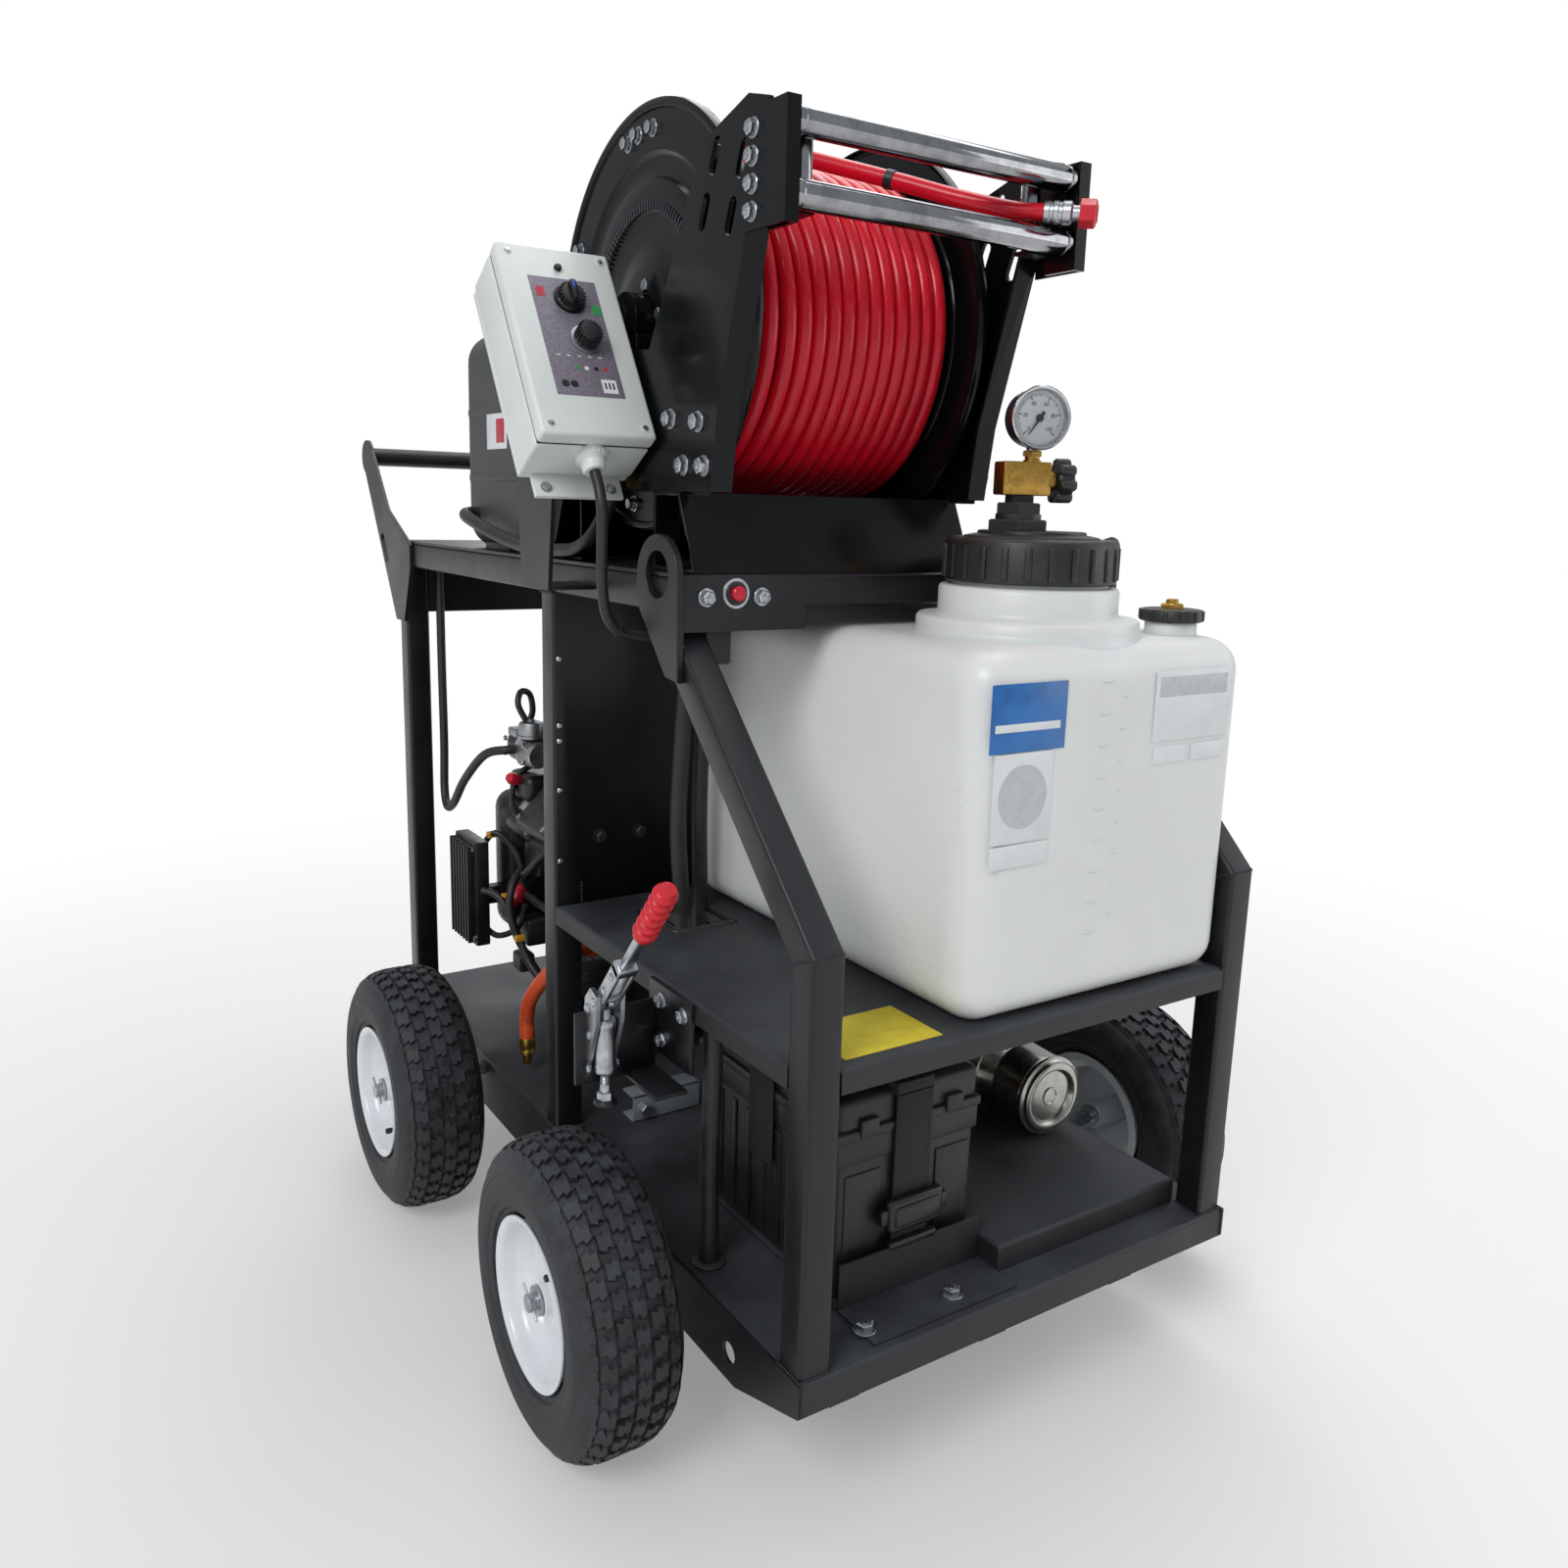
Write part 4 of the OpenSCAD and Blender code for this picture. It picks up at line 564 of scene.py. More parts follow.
# ---- Tank ----
# Blow-moulded polyethylene tank, milky and slightly see-through, with soft corners and slightly
# crowned walls. Its stickers are left plain, and level marks are moulded into the front.
tank_poly = finish("tank_poly", "e5e6e4", "dbdcd9", smooth=0.26, rough=0.4, size=0.25, grain=0.004,
    depth=0.00008, dust_and_sheen=0.12, subsurface_weight=0.12, subsurface_scale=0.03)
black_plastic = finish("black_plastic", "17181a", "26272a", smooth=0.36, size=0.03, grain=0.001, dust_and_sheen=0.2)
sticker_white = finish("sticker_white", "e4e5e6", "d8dadc", smooth=0.3, rough=0.4, size=0.03)
sticker_blue = finish("sticker_blue", "1f6fb8", "174f8c", smooth=0.25, rough=0.35, size=0.04, amount=0.8)
sticker_grey = finish("sticker_grey", "c4c7ca", "b4b7ba", smooth=0.3, rough=0.45, size=0.01)
sticker_yellow = finish("sticker_yellow", "e8d21f", "d6bf18", smooth=0.4, rough=0.55, size=0.03, dust_and_sheen=0.2)


def soft_box(low, high, radius, crown):
    """A closed box with round corners and walls that swell a little towards their middles."""
    body = bmesh.new()
    bmesh.ops.create_cube(body, size=2)
    bmesh.ops.subdivide_edges(body, edges=body.edges, cuts=21, use_grid_fill=True)
    low, high = Vector(low), Vector(high)
    middle, half = (low + high) / 2, (high - low) / 2
    for v in body.verts:
        cube = v.co.copy()
        spread = Vector(math.copysign(abs(c) ** 0.42, c) for c in cube)
        inner = Vector(max(-(half[i] - radius), min(half[i] - radius, spread[i] * half[i])) for i in range(3))
        outer = Vector(spread[i] * half[i] for i in range(3))
        gap = outer - inner
        point = inner + gap.normalized() * radius if gap.length > 1e-6 else outer
        flat = sorted(range(3), key=lambda i: abs(cube[i]))[2]
        swell = crown[flat] * (1 - (point[(flat + 1) % 3] / half[(flat + 1) % 3]) ** 2)
        swell *= 1 - (point[(flat + 2) % 3] / half[(flat + 2) % 3]) ** 2
        point[flat] += math.copysign(max(0, swell), cube[flat])
        v.co = at(*(point + middle))
    for face in body.faces:
        face.smooth = True
    return body


body = soft_box((-121, 9, 514), (277, 584, 906), 38, (1.2, 1.5, 0.6))
neck = at(68, 156, 906)
turned(body, [(0, -8), (130, -8), (129, -1), (125, 2), (124, 6), (124, 15), (121, 18.5), (117, 19),
    (104, 19.5), (100.5, 22), (100, 26), (100, 48), (98.5, 51), (96, 52), (87, 52.5), (86, 54), (86, 93),
    (85, 94), (80.2, 94), (80, 92), (80, -8)], neck, Z, 0, 96)
turned(body, [(0, -6), (31, -6), (30, 0), (29, 3), (29, 13), (28, 14), (0, 14)], at(228, 86, 906), Z, 0, 48)
for x, z, wide, tall, count in ((46, 598, 0.009, 0.0016, 9), (74, 615, 0.005, 0.0014, 8)):
    mark = bmesh.new()
    bmesh.ops.create_icosphere(mark, subdivisions=2, radius=1)
    mark.transform(Matrix.Diagonal((wide, 0.0012, tall, 1)))
    copies(body, mark, count, tank_poly, at(x, 7.9, z), (0, 0, 0.034))
piece("tank_shell", body, [tank_poly], stands_for=["tank"], angle=50, face_out=False)

body = bmesh.new()
block(body, (-114, 6.9, 805), (-12, 7.7, 874), 0.3, 0)
blocks(body, 1, (-106, 6.8, 712, -26, 7.7, 804, 0.3), (-106, 6.8, 686, -26, 7.7, 710, 0.3),
    (120, 6.8, 800, 242, 7.7, 876, 0.3), (124, 6.9, 775, 176, 7.7, 794, 0.3),
    (184, 6.9, 775, 238, 7.7, 794, 0.3))
turned(body, [(0, 0), (33, 0), (33, 0.25), (30.5, 0.25), (30.5, 0.1), (0, 0.1)], at(-66, 6.75, 759), -Y, 2,
    64)
block(body, (126, 6.6, 848), (236, 7.2, 870), 0.2, 2)
block(body, (-108, 6.6, 826), (-20, 7.0, 834), 0.1, 1)
piece("tank_stickers", body, [sticker_blue, sticker_white, sticker_grey])
body = bmesh.new()
block(body, (-261, 24, 513.8), (-138, 111, 514.5), 0.3, 0)
piece("shelf_label", body, [sticker_yellow])

body = bmesh.new()
ring_low = at(68, 156, 962.3)
unmoved = Matrix()
turned(body, [(86.4, 0), (93, 0), (95, 1.5), (95, 43), (93.5, 46), (90, 48), (80, 48), (78, 46.5), (78, 43.5),
    (86.4, 43)], ring_low, Z, 0, 96)
rib = bmesh.new()
block(rib, (92.5, -3.8, 4), (97.6, 3.8, 40), 1.6, 0, unmoved)
copies(body, rib, 24, black_plastic, ring_low)
strap = [at(68 + x, 156 + y, z) for x, y, z in ((78, -38, 1008.6), (88, -38, 1010.5), (98, -36, 1006),
    (103, -34, 992), (101, -34, 976), (96, -34, 966), (92, -33, 963))]
rod(body, steps(strap, 4), 0.0032, 10)
piece("ring_grip", body, [black_plastic], "lid_ring", ["lid_ring"], 35, False)

brass = finish("brass", "b8924a", "8a6a30", smooth=0.3, size=0.01, amount=0.7, metallic=1.0)
body = bmesh.new()
dome = at(68, 156, 1000.3)
turned(body, [(0, 0), (85, 0), (85, 4.6), (77, 4.8), (76.6, 9), (74, 12), (66, 13.6), (60, 14.6), (59.6, 17),
    (58, 18), (0, 18)], dome, Z, 0, 80)
port = at(46, 156, 1018.3)
nut(body, 62, 12, port, Z, 0, 1.6)
turned(body, [(0, 11), (25, 11.9), (25, 18), (0, 18.2)], port, Z, 0, 40)
nut(body, 46, 12, port + 0.018 * Z, Z, 0, 1.4)
turned(body,
    [(0, 30), (16, 30)] + [(16 - (i % 2) * 0.9, 30.6 + i * 0.9) for i in range(8)] + [(16, 38), (0, 38)],
    port, Z, 0, 40)
piece("lid_top", body, [black_plastic], stands_for=["lid_dome"])

body = bmesh.new()
vent = at(228, 86, 920.3)
turned(body, [(0, 0), (34, 0), (35.5, 1.5), (35.5, 11), (34, 13.4), (31, 14), (0, 14)], vent, Z, 0, 64)
rib = bmesh.new()
block(rib, (34, -2.8, 1), (36.9, 2.8, 13), 1.2, 0, unmoved)
copies(body, rib, 12, black_plastic, vent)
nut(body, 24, 6, vent + 0.014 * Z, Z, 1, 1)
turned(body, [(0, 20), (7, 20), (7, 24), (6, 25), (0, 25)], vent, Z, 1, 24)
piece("vent_plug", body, [black_plastic, brass], "vent_cap", ["vent_cap"], 35, False)

# ---- Gauge and bleed valve ----
# A machined brass block on the lid's adapter carries a liquid-filled gauge with a steel bezel
# and a small valve with a lobed black knob. The dial has plain ticks and numbers.
dial_white = finish("dial_white", "e6e8ea", "dcdfe2", rough=0.45, size=0.02, amount=0.3, depth=0.00001)
steel = finish("bezel_steel", "c9cbce", "9fa1a4", smooth=0.14, rough=0.28, size=0.02, amount=0.5,
    metallic=1.0)
gauge_case = finish("gauge_case", "2b2d30", "1e2022", smooth=0.3, rough=0.45, size=0.02)
ink = finish("ink", "141517", "1c1d20", smooth=0.4, size=0.01)
lens = bpy.data.materials.new("lens")
lens.use_nodes = True
glass = lens.node_tree.nodes["Principled BSDF"]
glass.inputs["Roughness"].default_value = 0.03
glass.inputs["IOR"].default_value = 1.3
glass.inputs["Base Color"].default_value = (1, 1, 1, 1)
clear = wire(lens.node_tree, "ShaderNodeFresnel", {"IOR": 1.35})
lens.node_tree.links.new(clear.outputs[0], glass.inputs["Alpha"])

port_turn = Matrix.Rotation(math.radians(-20), 4, "Z")
on_port = Matrix.Translation(drawn(46, 156, 1056.3)) @ port_turn


def from_port(x, y, z):
    """A point on the brass block's own axes, in millimetres."""
    return on_port @ Vector((x, y, z)) / 1000


port_x = (on_port.to_3x3() @ X).normalized()
port_y = (on_port.to_3x3() @ Y).normalized()
body = bmesh.new()
block(body, (-26, -15, 0), (30, 15, 36), 2.2, 0, on_port)
turned(body, [(0, 35.5), (9.5, 35.5), (9.5, 38), (8, 39), (8, 42), (0, 42)], from_port(12, 0, 0), Z, 0, 32)
nut(body, 20, 6, from_port(12, 0, 42), Z, 0, 1)
turned(body, [(0, 29.5), (11, 29.5), (11, 37), (10, 38), (6, 38), (6, 54), (0, 54)], from_port(0, 0, 16),
    port_x, 0, 32)
turned(body, cylinder(9, 14.5, 17), from_port(-12, 0, 18), -port_y, 0, 6)
piece("brass_block", body, [brass], stands_for=["manifold"])

body = bmesh.new()
turned(body, [(6.1, 39), (17.5, 39), (19, 41), (19, 55), (17, 57), (8, 57.2), (0, 56)], from_port(0, 0, 16),
    port_x, 0, 42)
lobe = bmesh.new()
turned(lobe, [(0, 0), (5, 0), (6.4, 1.6), (6.4, 16), (5, 18), (0, 18.4)], Vector((0, 0, 0.0185)), X, 0, 16)
copies(body, lobe, 7, black_plastic, axis=X, place=Matrix.Translation(from_port(39, 0, 16)) @ port_turn)
piece("valve_grip", body, [black_plastic], "valve_knob", ["valve_knob"], 35)

face_spot = from_port(12, 0, 82)
out = -port_y


def on_dial(share, quarter=0):
    """The way from the dial's middle to a share of its scale, or at right angles to it."""
    angle = math.radians(225 - 270 * share + 90 * quarter)
    return port_x * math.cos(angle) + Z * math.sin(angle)


body = bmesh.new()
turned(body, [(0, -12), (28, -12), (30.5, -10), (31, -6), (31, 13)], face_spot, out, 0, 64)
turned(body, [(31, 13), (33, 13), (34, 14.4), (34, 18.6), (32.6, 20), (30.6, 19.6), (29, 17), (29, 12.2)],
    face_spot, out, 1, 64)
turned(body, [(29, 12.2), (0, 12.2)], face_spot, out, 2, 64)
turned(body, cylinder(7, -33.5, -27), face_spot, Z, 1, 24)
for i in range(51):
    way, across = on_dial(i / 50), on_dial(i / 50, 1)
    long, wide = (5.2, 0.55) if i % 10 == 0 else (3.6, 0.4) if i % 5 == 0 else (2.2, 0.25)
    tick = ((25.5, -wide), (25.5, wide), (25.5 - long, wide), (25.5 - long, -wide))
    corners = [body.verts.new(face_spot + out * 0.01235 + (way * a + across * b) / 1000) for a, b in tick]
    body.faces.new(corners).material_index = 3
piece("gauge_shape", body, [gauge_case, steel, dial_white, ink], stands_for=["gauge"],
    face_out=False)
for i in range(6):
    curve = bpy.data.curves.new("number", "FONT")
    curve.body = str(i * 20)
    curve.size = 0.0062
    curve.align_x = curve.align_y = "CENTER"
    curve.extrude = 0.00005
    text = bpy.data.objects.new("number", curve)
    bpy.context.scene.collection.objects.link(text)
    spot = face_spot + out * 0.0124 + on_dial(i / 5) * 0.0165
    text.matrix_world = Matrix.Translation(spot) @ Matrix((port_x, Z, out)).transposed().to_4x4()
    bpy.context.view_layer.update()
    flat = bpy.data.meshes.new_from_object(text.evaluated_get(bpy.context.evaluated_depsgraph_get()))
    flat.transform(text.matrix_world)
    bpy.data.objects.remove(text)
    number = bmesh.new()
    number.from_mesh(flat)
    piece(f"dial_number_{i}", number, [ink], face_out=False)
body = bmesh.new()
turned(body, [(29.2, 17.2), (20, 17.8), (0, 18)], face_spot, out, 0, 48)
piece("gauge_lens", body, [lens], face_out=False)

body = bmesh.new()
turned(body, [(0, 12.4), (4, 12.4), (4, 15), (3, 16), (0, 16.2)], face_spot, out, 0, 24)
at_rest = math.radians(215)
way = (port_x * math.sin(at_rest) + Z * math.cos(at_rest)).normalized()
across = out.cross(way)
corners = [(-8, -1.6), (-8, 1.6), (0, 1.3), (22, 0.4), (22, -0.4), (0, -1.3)]
middle = [face_spot + (way * a + across * b) / 1000 for a, b in corners]
slab(body, *([point + out * height for point in middle] for height in (0.0145, 0.0153)))
piece("gauge_pointer", body, [ink], "gauge_needle", ["gauge_needle"])

# ---- Hose reel ----
# Formed side arms and pressed discs in gloss black enamel, bolted together with zinc-plated
# bolts; the disc's rim is rolled, and its face is stepped with a serrated band.
gloss_black = finish("gloss_black", "08090b", "101216", smooth=0.14, rough=0.27, size=0.12, amount=0.5,
    grain=0.003, depth=0.00003, dust_and_sheen=0.02, coat_weight=0.06, coat_roughness=0.08, specular_ior_level=0.17)
worn_band = finish("worn_band", "4c4e52", "2a2c2f", smooth=0.3, rough=0.45, size=0.01, metallic=0.6)
for node in ("reel_base", "reel_arm_left", "reel_arm_right"):
    dress(node, [gloss_black], edge=0.001)

reel_y, reel_z = 456, 1237


def on_reel(x, radius=0.0, angle=0.0):
    """A point round the reel's axis, in millimetres, its angle from the rear upwards in radians."""
    return at(x, reel_y + radius * math.cos(angle), reel_z + radius * math.sin(angle))


body = bmesh.new()
for x, way in ((-256, -1), (41, 1)):
    middle = on_reel(x)
    turned(body, [(19, 0), (19, 9), (40, 9.4), (58, 8.6), (62, 7.6), (82, 2.2), (86, 2), (100, 2), (116, 2.2),
        (119, 3), (122, 4.8), (126, 5), (148, 5), (151, 4.2), (154, -0.4), (157, -1), (174, -1), (177, -0.2),
        (180, 2.8), (184, 3), (221, 3), (222.5, 5.5), (225, 6.6), (229, 6.8), (232, 5), (233, 2), (233, -5),
        (231.6, -7.6), (230.4, -7), (230, -5), (230, 3), (228, 3.6), (226, 3.2), (225, 0.2), (183, 0),
        (179, -3.4), (176, -4), (156, -4), (152, -3.4), (149, 1.6), (146, 2), (128, 2), (124, 1.6),
        (120, -0.8), (116, -1), (84, -1), (80, -0.6), (60, 5.4), (56, 6), (19, 6), (19, 0)], middle, way * X,
        0, 128)
    # Serrated locking band round the middle step
    tooth = prism([(-1.3, -1.3), (1.3, -1.3), (1.3, 1.3), (-1.3, 1.3)], 118.5, 128.5, 0.1)
    copies(body, tooth, 120, worn_band, middle + way * 0.0054 * X, axis=X, index=2)
turned(body, [(0, 0), (16, 0), (19, 2), (19, 384), (17, 388), (0, 388)], on_reel(-296), X, 0, 40)
turned(body, [(0, 0), (58, 0), (60, 2), (60, 309), (58, 311), (0, 311)], on_reel(-263), X, 0, 64)
for a in range(5):
    nut(body, 13, 7, on_reel(-261, 40, 0.5 + a * math.tau / 5), -X, 1)
rim_bolts = 203
for angle in (84, 77, 94, 30, -23, -82, -150):
    spot = on_reel(-259, rim_bolts, math.radians(angle))
    turned(body, [(0, 0), (9.5, 0), (9.5, 1.6), (7.5, 2), (7.5, 4.5), (0, 5)], spot, -X, 1, 24)
    nut(body, 12, 8, spot - 0.002 * X, -X, 1)
for angle in (40, 130, 220, 310):
    nut(body, 12, 7, on_reel(44.5, rim_bolts, math.radians(angle)), X, 1)
piece("reel_discs", body, [gloss_black, zinc, worn_band], "reel", ["reel_drum"], 35)

body = bmesh.new()
# The first loops lie easy, with a wider pitch and a sway, over a tight layer that shows between them
loops, easy_loops, easy, tight, coil_radius = 14, 6, 20.7, 18.15, 181
sway, sway_phase, stray, lift, hose_radius, around = 7, 5.06, 0.35, 0.5, 0.009, 60
under_pitch, under_radius, under_around = 18.8, 165.5, 48
chance = random.Random(4)
lean = [chance.uniform(-1, 1) for _ in range(loops + 2)]
winding = []
for i in range(loops * around + 1):
    t = i / around
    n = min(int(t), loops - 1)
    part = t - n
    wave = (lean[n] * (1 - part) + lean[n + 1] * part) * stray
    turn_angle = math.tau * t
    wave += sway * max(0,
        1 - abs(t - easy_loops / 2) / (easy_loops / 2)) * math.sin(2 * turn_angle - sway_phase)
    place = -242.5 + easy * min(t, easy_loops) + tight * max(0, t - easy_loops)
    rise = lift * math.sin(turn_angle * 1.5 + n) * min(1, t) * min(1, loops - t)
    winding.append(on_reel(place + wave, coil_radius + rise, turn_angle))
rod(body, winding, hose_radius, 12)
under = [on_reel(-229.6 + under_pitch * i / under_around, under_radius,
    math.tau * i / under_around) for i in range(under_around * (loops - 1) + 1)]
rod(body, under, hose_radius, 8)
turned(body, [(60.5, 0), (158, 0), (158, 270), (60.5, 270), (60.5, 0)], on_reel(-243), X, 0, 48)
piece("hose_winding", body, [hose_rubber], "reel", ["hose_coil"], 60)

# ---- Roller guide ----
# Four polished steel rollers spin on studs between two gloss black end plates, which are bolted
# to the reel's side arms.
polished = finish("chrome_roller", "9a9b9e", "5f6165", smooth=0.06, rough=0.2, size=0.02, amount=0.5,
    depth=0.00001, metallic=1.0)
dress("guide_frame", [gloss_black, zinc], edge=0,
    pick=lambda p: 1 if abs(p.y - 132) < 12 and (p.x < -286.6 or p.x > 71.4) or abs(p.y - 158) < 4.3
    and 1304 < p.z < 1392 and (abs(p.x + 252) < 4.3 or abs(p.x - 37) < 4.3) else 0)
for node in ("rollers_top", "rollers_bottom"):
    low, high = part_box(node)
    body = bmesh.new()
    middle = Vector((low.x, (low.y + high.y) / 2, (low.z + high.z) / 2))
    long = (high.x - low.x) * 1000
    turned(body, [(5, 0), (11.5, 0), (13.2, 1.2), (13.4, 6), (13.4, 8), (13.1, 8.6), (13.4, 9.2),
        (13.4, long - 9.2), (13.1, long - 8.6), (13.4, long - 8), (13.4, long - 6), (13.2, long - 1.2),
        (11.5, long), (5, long), (5, 0)], middle, X, 0, 48)
    piece(node + "_tube", body, [polished], node, [node], 35)
for node in ("roller_left", "roller_right"):
    low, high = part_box(node)
    body = bmesh.new()
    middle = Vector(((low.x + high.x) / 2, (low.y + high.y) / 2, low.z))
    long = (high.z - low.z) * 1000
    turned(body, [(4.1, 0), (9, 0), (10, 1), (10, long - 1), (9, long), (4.1, long), (4.1, 0)], middle, Z, 0,
        36)
    piece(node + "_tube", body, [polished], node, [node], 35)

# ---- Control box ----
# Light grey moulded enclosure with a screwed cover, tilted back on a bracket. Its purple-grey
# panel carries a selector and a throttle knob; marks on it are plain shapes.
box_grey = finish("box_grey", "dfe3e0", "d3d8d5", smooth=0.3, rough=0.42, size=0.09, amount=0.5, grain=0.001,
    depth=0.00005, dust_and_sheen=0.1)
panel_grey = finish("panel_grey", "69616d", "9a95a0", smooth=0.45, rough=0.6, size=0.0016, amount=0.9,
    grain=0.0008)
knob_black = finish("knob_black", "121315", "202124", smooth=0.25, rough=0.4, size=0.02)
mark_red = finish("mark_red", "c02a3c", "a82033", smooth=0.4, size=0.01)
mark_green = finish("mark_green", "2e9a52", "268146", smooth=0.4, size=0.01)
mark_blue = finish("mark_blue", "3560c8", "2a4fae", smooth=0.3, rough=0.4, size=0.01)
box_lean = Matrix.Rotation(math.radians(-32), 4, "X")
tilt = Matrix.Translation(drawn(-430, 352, 1105)) @ box_lean
box_out = (tilt.to_3x3() @ -Y).normalized()
down = -(tilt.to_3x3() @ Z).normalized()


def on_box(x, y, z):
    """A point on the tilted box: across, into it and up its face, in millimetres."""
    return tilt @ Vector((x, y, z)) / 1000


body = bmesh.new()
blocks(body, 0, (0, 22, 0, 132, 76, 240, 4, 3), (-0.2, 0, -0.2, 132.2, 20, 240.2, 4.5, 3), place=tilt)
block(body, (2, 19, 2), (130, 23, 238), 0, 3, tilt)
blocks(body, 0, (2, 76, 2, 130, 88, 238, 2), (14, 78, -26, 118, 84, 6, 1.6), (14, 78, 234, 118, 84, 260, 1.6),
    place=tilt)
for x in (12, 120):
    for z in (12, 228):
        turned(body, cylinder(4.6, -0.4, 0.6), on_box(x, 0, z), box_out, 0, 24)
        turned(body, [(0, 0.5), (3.6, 0.5), (3.2, 1.4), (0, 1.8)], on_box(x, 0, z), box_out, 1, 20)
for x in (28, 104):
    for z in (-15, 250):
        turned(body, [(0, 0), (6.5, 0), (6.5, 1), (4.5, 1.2), (4, 4), (0, 4.6)], on_box(x, 78, z), box_out, 1,
            20)
block(body, (28, -0.7, 48), (106, 0.5, 198), 0.3, 2, tilt)
turned(body, [(0, 0), (4.5, 0), (4.5, 2), (3.2, 4.4), (0, 5)], on_box(66, 0, 212), box_out, 3, 20)
selector, throttle = (70, 171), (76, 119)
turned(body, [(15.4, 0), (18, 0.2), (18.6, 1.2), (15.4, 1.4)], on_box(selector[0], 0, selector[1]), box_out,
    3, 40)
turned(body, [(14, 0), (17.5, 0.2), (17.5, 3.6), (16, 4.2), (13.2, 4.2)], on_box(throttle[0], 0, throttle[1]),
    box_out, 1, 40)
for x, z, look in ((38, 180, 4), (99, 162, 5)):
    turned(body, cylinder(6, 0.6, 0.85), on_box(x, 0, z), box_out, look, 6)
    block(body, (x - 5, -0.95, z - 8), (x + 5, -0.6, z - 5), 0, look, tilt)
for n, look in enumerate((5, 6, 3, 4)):
    turned(body, [(0, 0.6), (2.6, 0.6), (2.4, 1.1), (0, 1.1)], on_box(58 + n * 11, 0, 83), box_out, look, 20)
block(body, (82, -1, 53), (99, -0.6, 70), 0, 6, tilt)
for i in range(3):
    block(body, (85 + i * 4.5, -1.1, 58), (87 + i * 4.5, -0.9, 66), 0, 3, tilt)
for x in (40, 50):
    turned(body, cylinder(4.4, 0.6, 0.9), on_box(x, 0, 62), box_out, 3, 20)
for i in range(5):
    block(body, (38 + i * 12, -0.9, 97), (42 + i * 12, -0.65, 98.4), 0, 6, tilt)
gland = on_box(66, 34, 0)
turned(body, [(0, -1), (17, -1), (17, 7), (16, 8), (14.5, 8.4), (14.5, 10), (13, 11), (13, 19), (11, 22),
    (6.2, 22)], gland, down, 0, 40)
rib = bmesh.new()
block(rib, (13.4, -1, -8), (17.6, 1, -0.6), 0.7, 0, unmoved)
copies(body, rib, 18, box_grey, place=Matrix.Translation(gland) @ box_lean)
piece("box_shell", body, [box_grey, zinc, panel_grey, knob_black, mark_red, mark_green, sticker_white],
    stands_for=["control_box"], angle=40)
body = bmesh.new()
block(body, (46, 88, 30), (86, 93, 210), 1, 0, tilt)
arm_low, arm_high = on_box(0, 90, 50) * 1000, on_box(0, 90, 195) * 1000
outline = [(arm_low.y, arm_low.z), (arm_high.y, arm_high.z), (arm_high.y + 40, arm_high.z - 20),
    (arm_low.y + 100, 936), (arm_low.y + 20, 936)]
slab(body, *([Vector((x, y, z)) / 1000 for y, z in outline] for x in (-374, -369)))
block(body, (-371, arm_low.y + 730, 936), (-316, arm_low.y + 810, 941), 1, 0)
piece("box_bracket", body, [frame_coat], angle=30)

level = -port_x.cross(box_out).cross(box_out).normalized()
for node, (x, z), wide, tall in (("selector_knob", selector, 14, 14), ("throttle_knob", throttle, 13, 20)):
    body = bmesh.new()
    spot = on_box(x, 0, z)
    turned(body, [(0, 0.9), (wide + 2, 0.9), (wide + 2, 3), (wide + 0.8, 4.6), (wide, 5),
        (wide * 0.94, tall - 2), (wide * 0.86, tall), (0, tall + 0.6)], spot, box_out, 0, 40)
    flute = bmesh.new()
    turned(flute, [(0, 5), (1.3, 5), (1.2, tall - 1.5), (0, tall - 1)], Vector((wide / 1000, 0, 0)), Z, 0, 8)
    copies(body, flute, 20, knob_black,
        place=Matrix.Translation(spot) @ Matrix((level, box_out.cross(level), box_out)).transposed().to_4x4())
    if node == "selector_knob":
        block(body, (x - 3.4, -19.5, z - 12), (x + 3.4, -tall + 2, z + 13), 1.6, 0, tilt)
        block(body, (x - 1.2, -19.9, z + 2), (x + 1.2, -19.4, z + 12), 0.2, 1, tilt)
    piece(node + "_grip", body, [knob_black, mark_blue], node, [node], 40)

button_red = finish("button_red", "c8102e", "a50d26", smooth=0.22, rough=0.34, size=0.01)
body = bmesh.new()
button_spot = at(-251, 262, 946)
turned(body, [(0, 24.6), (11, 24.6), (11, 22.6), (8, 22.6), (8, -8), (7, -9), (0, -9.4)], button_spot, Y, 0,
    36)
piece("stop_cap", body, [button_red], "stop_button", ["stop_button"], 35)
body = bmesh.new()
turned(body, [(8.2, -3), (12, -3), (13, -1.5), (13, 0), (8.2, 0)], button_spot, Y, 0, 36)
turned(body, [(12.5, -1), (16, -1), (16.5, 0), (12.5, 0)], button_spot, Y, 1, 36)
piece("stop_collar", body, [black_plastic, zinc])

# A split rubber edging lines the shelf's cut-out for the hoses
edging = []
for k in range(16):
    c, n = math.cos(math.radians(k * 22.5 + 11.25)), math.sin(math.radians(k * 22.5 + 11.25))
    edging.append(at(-184 + math.copysign(36, c) + 8 * c, 474 + math.copysign(36, n) + 8 * n, 513))
body = bmesh.new()
split = (edging[0] + edging[-1]) / 2
rod(body, [split] + edging + [split], 0.0042, 10)
piece("cut_out_edging", body, [black_plastic], angle=60)

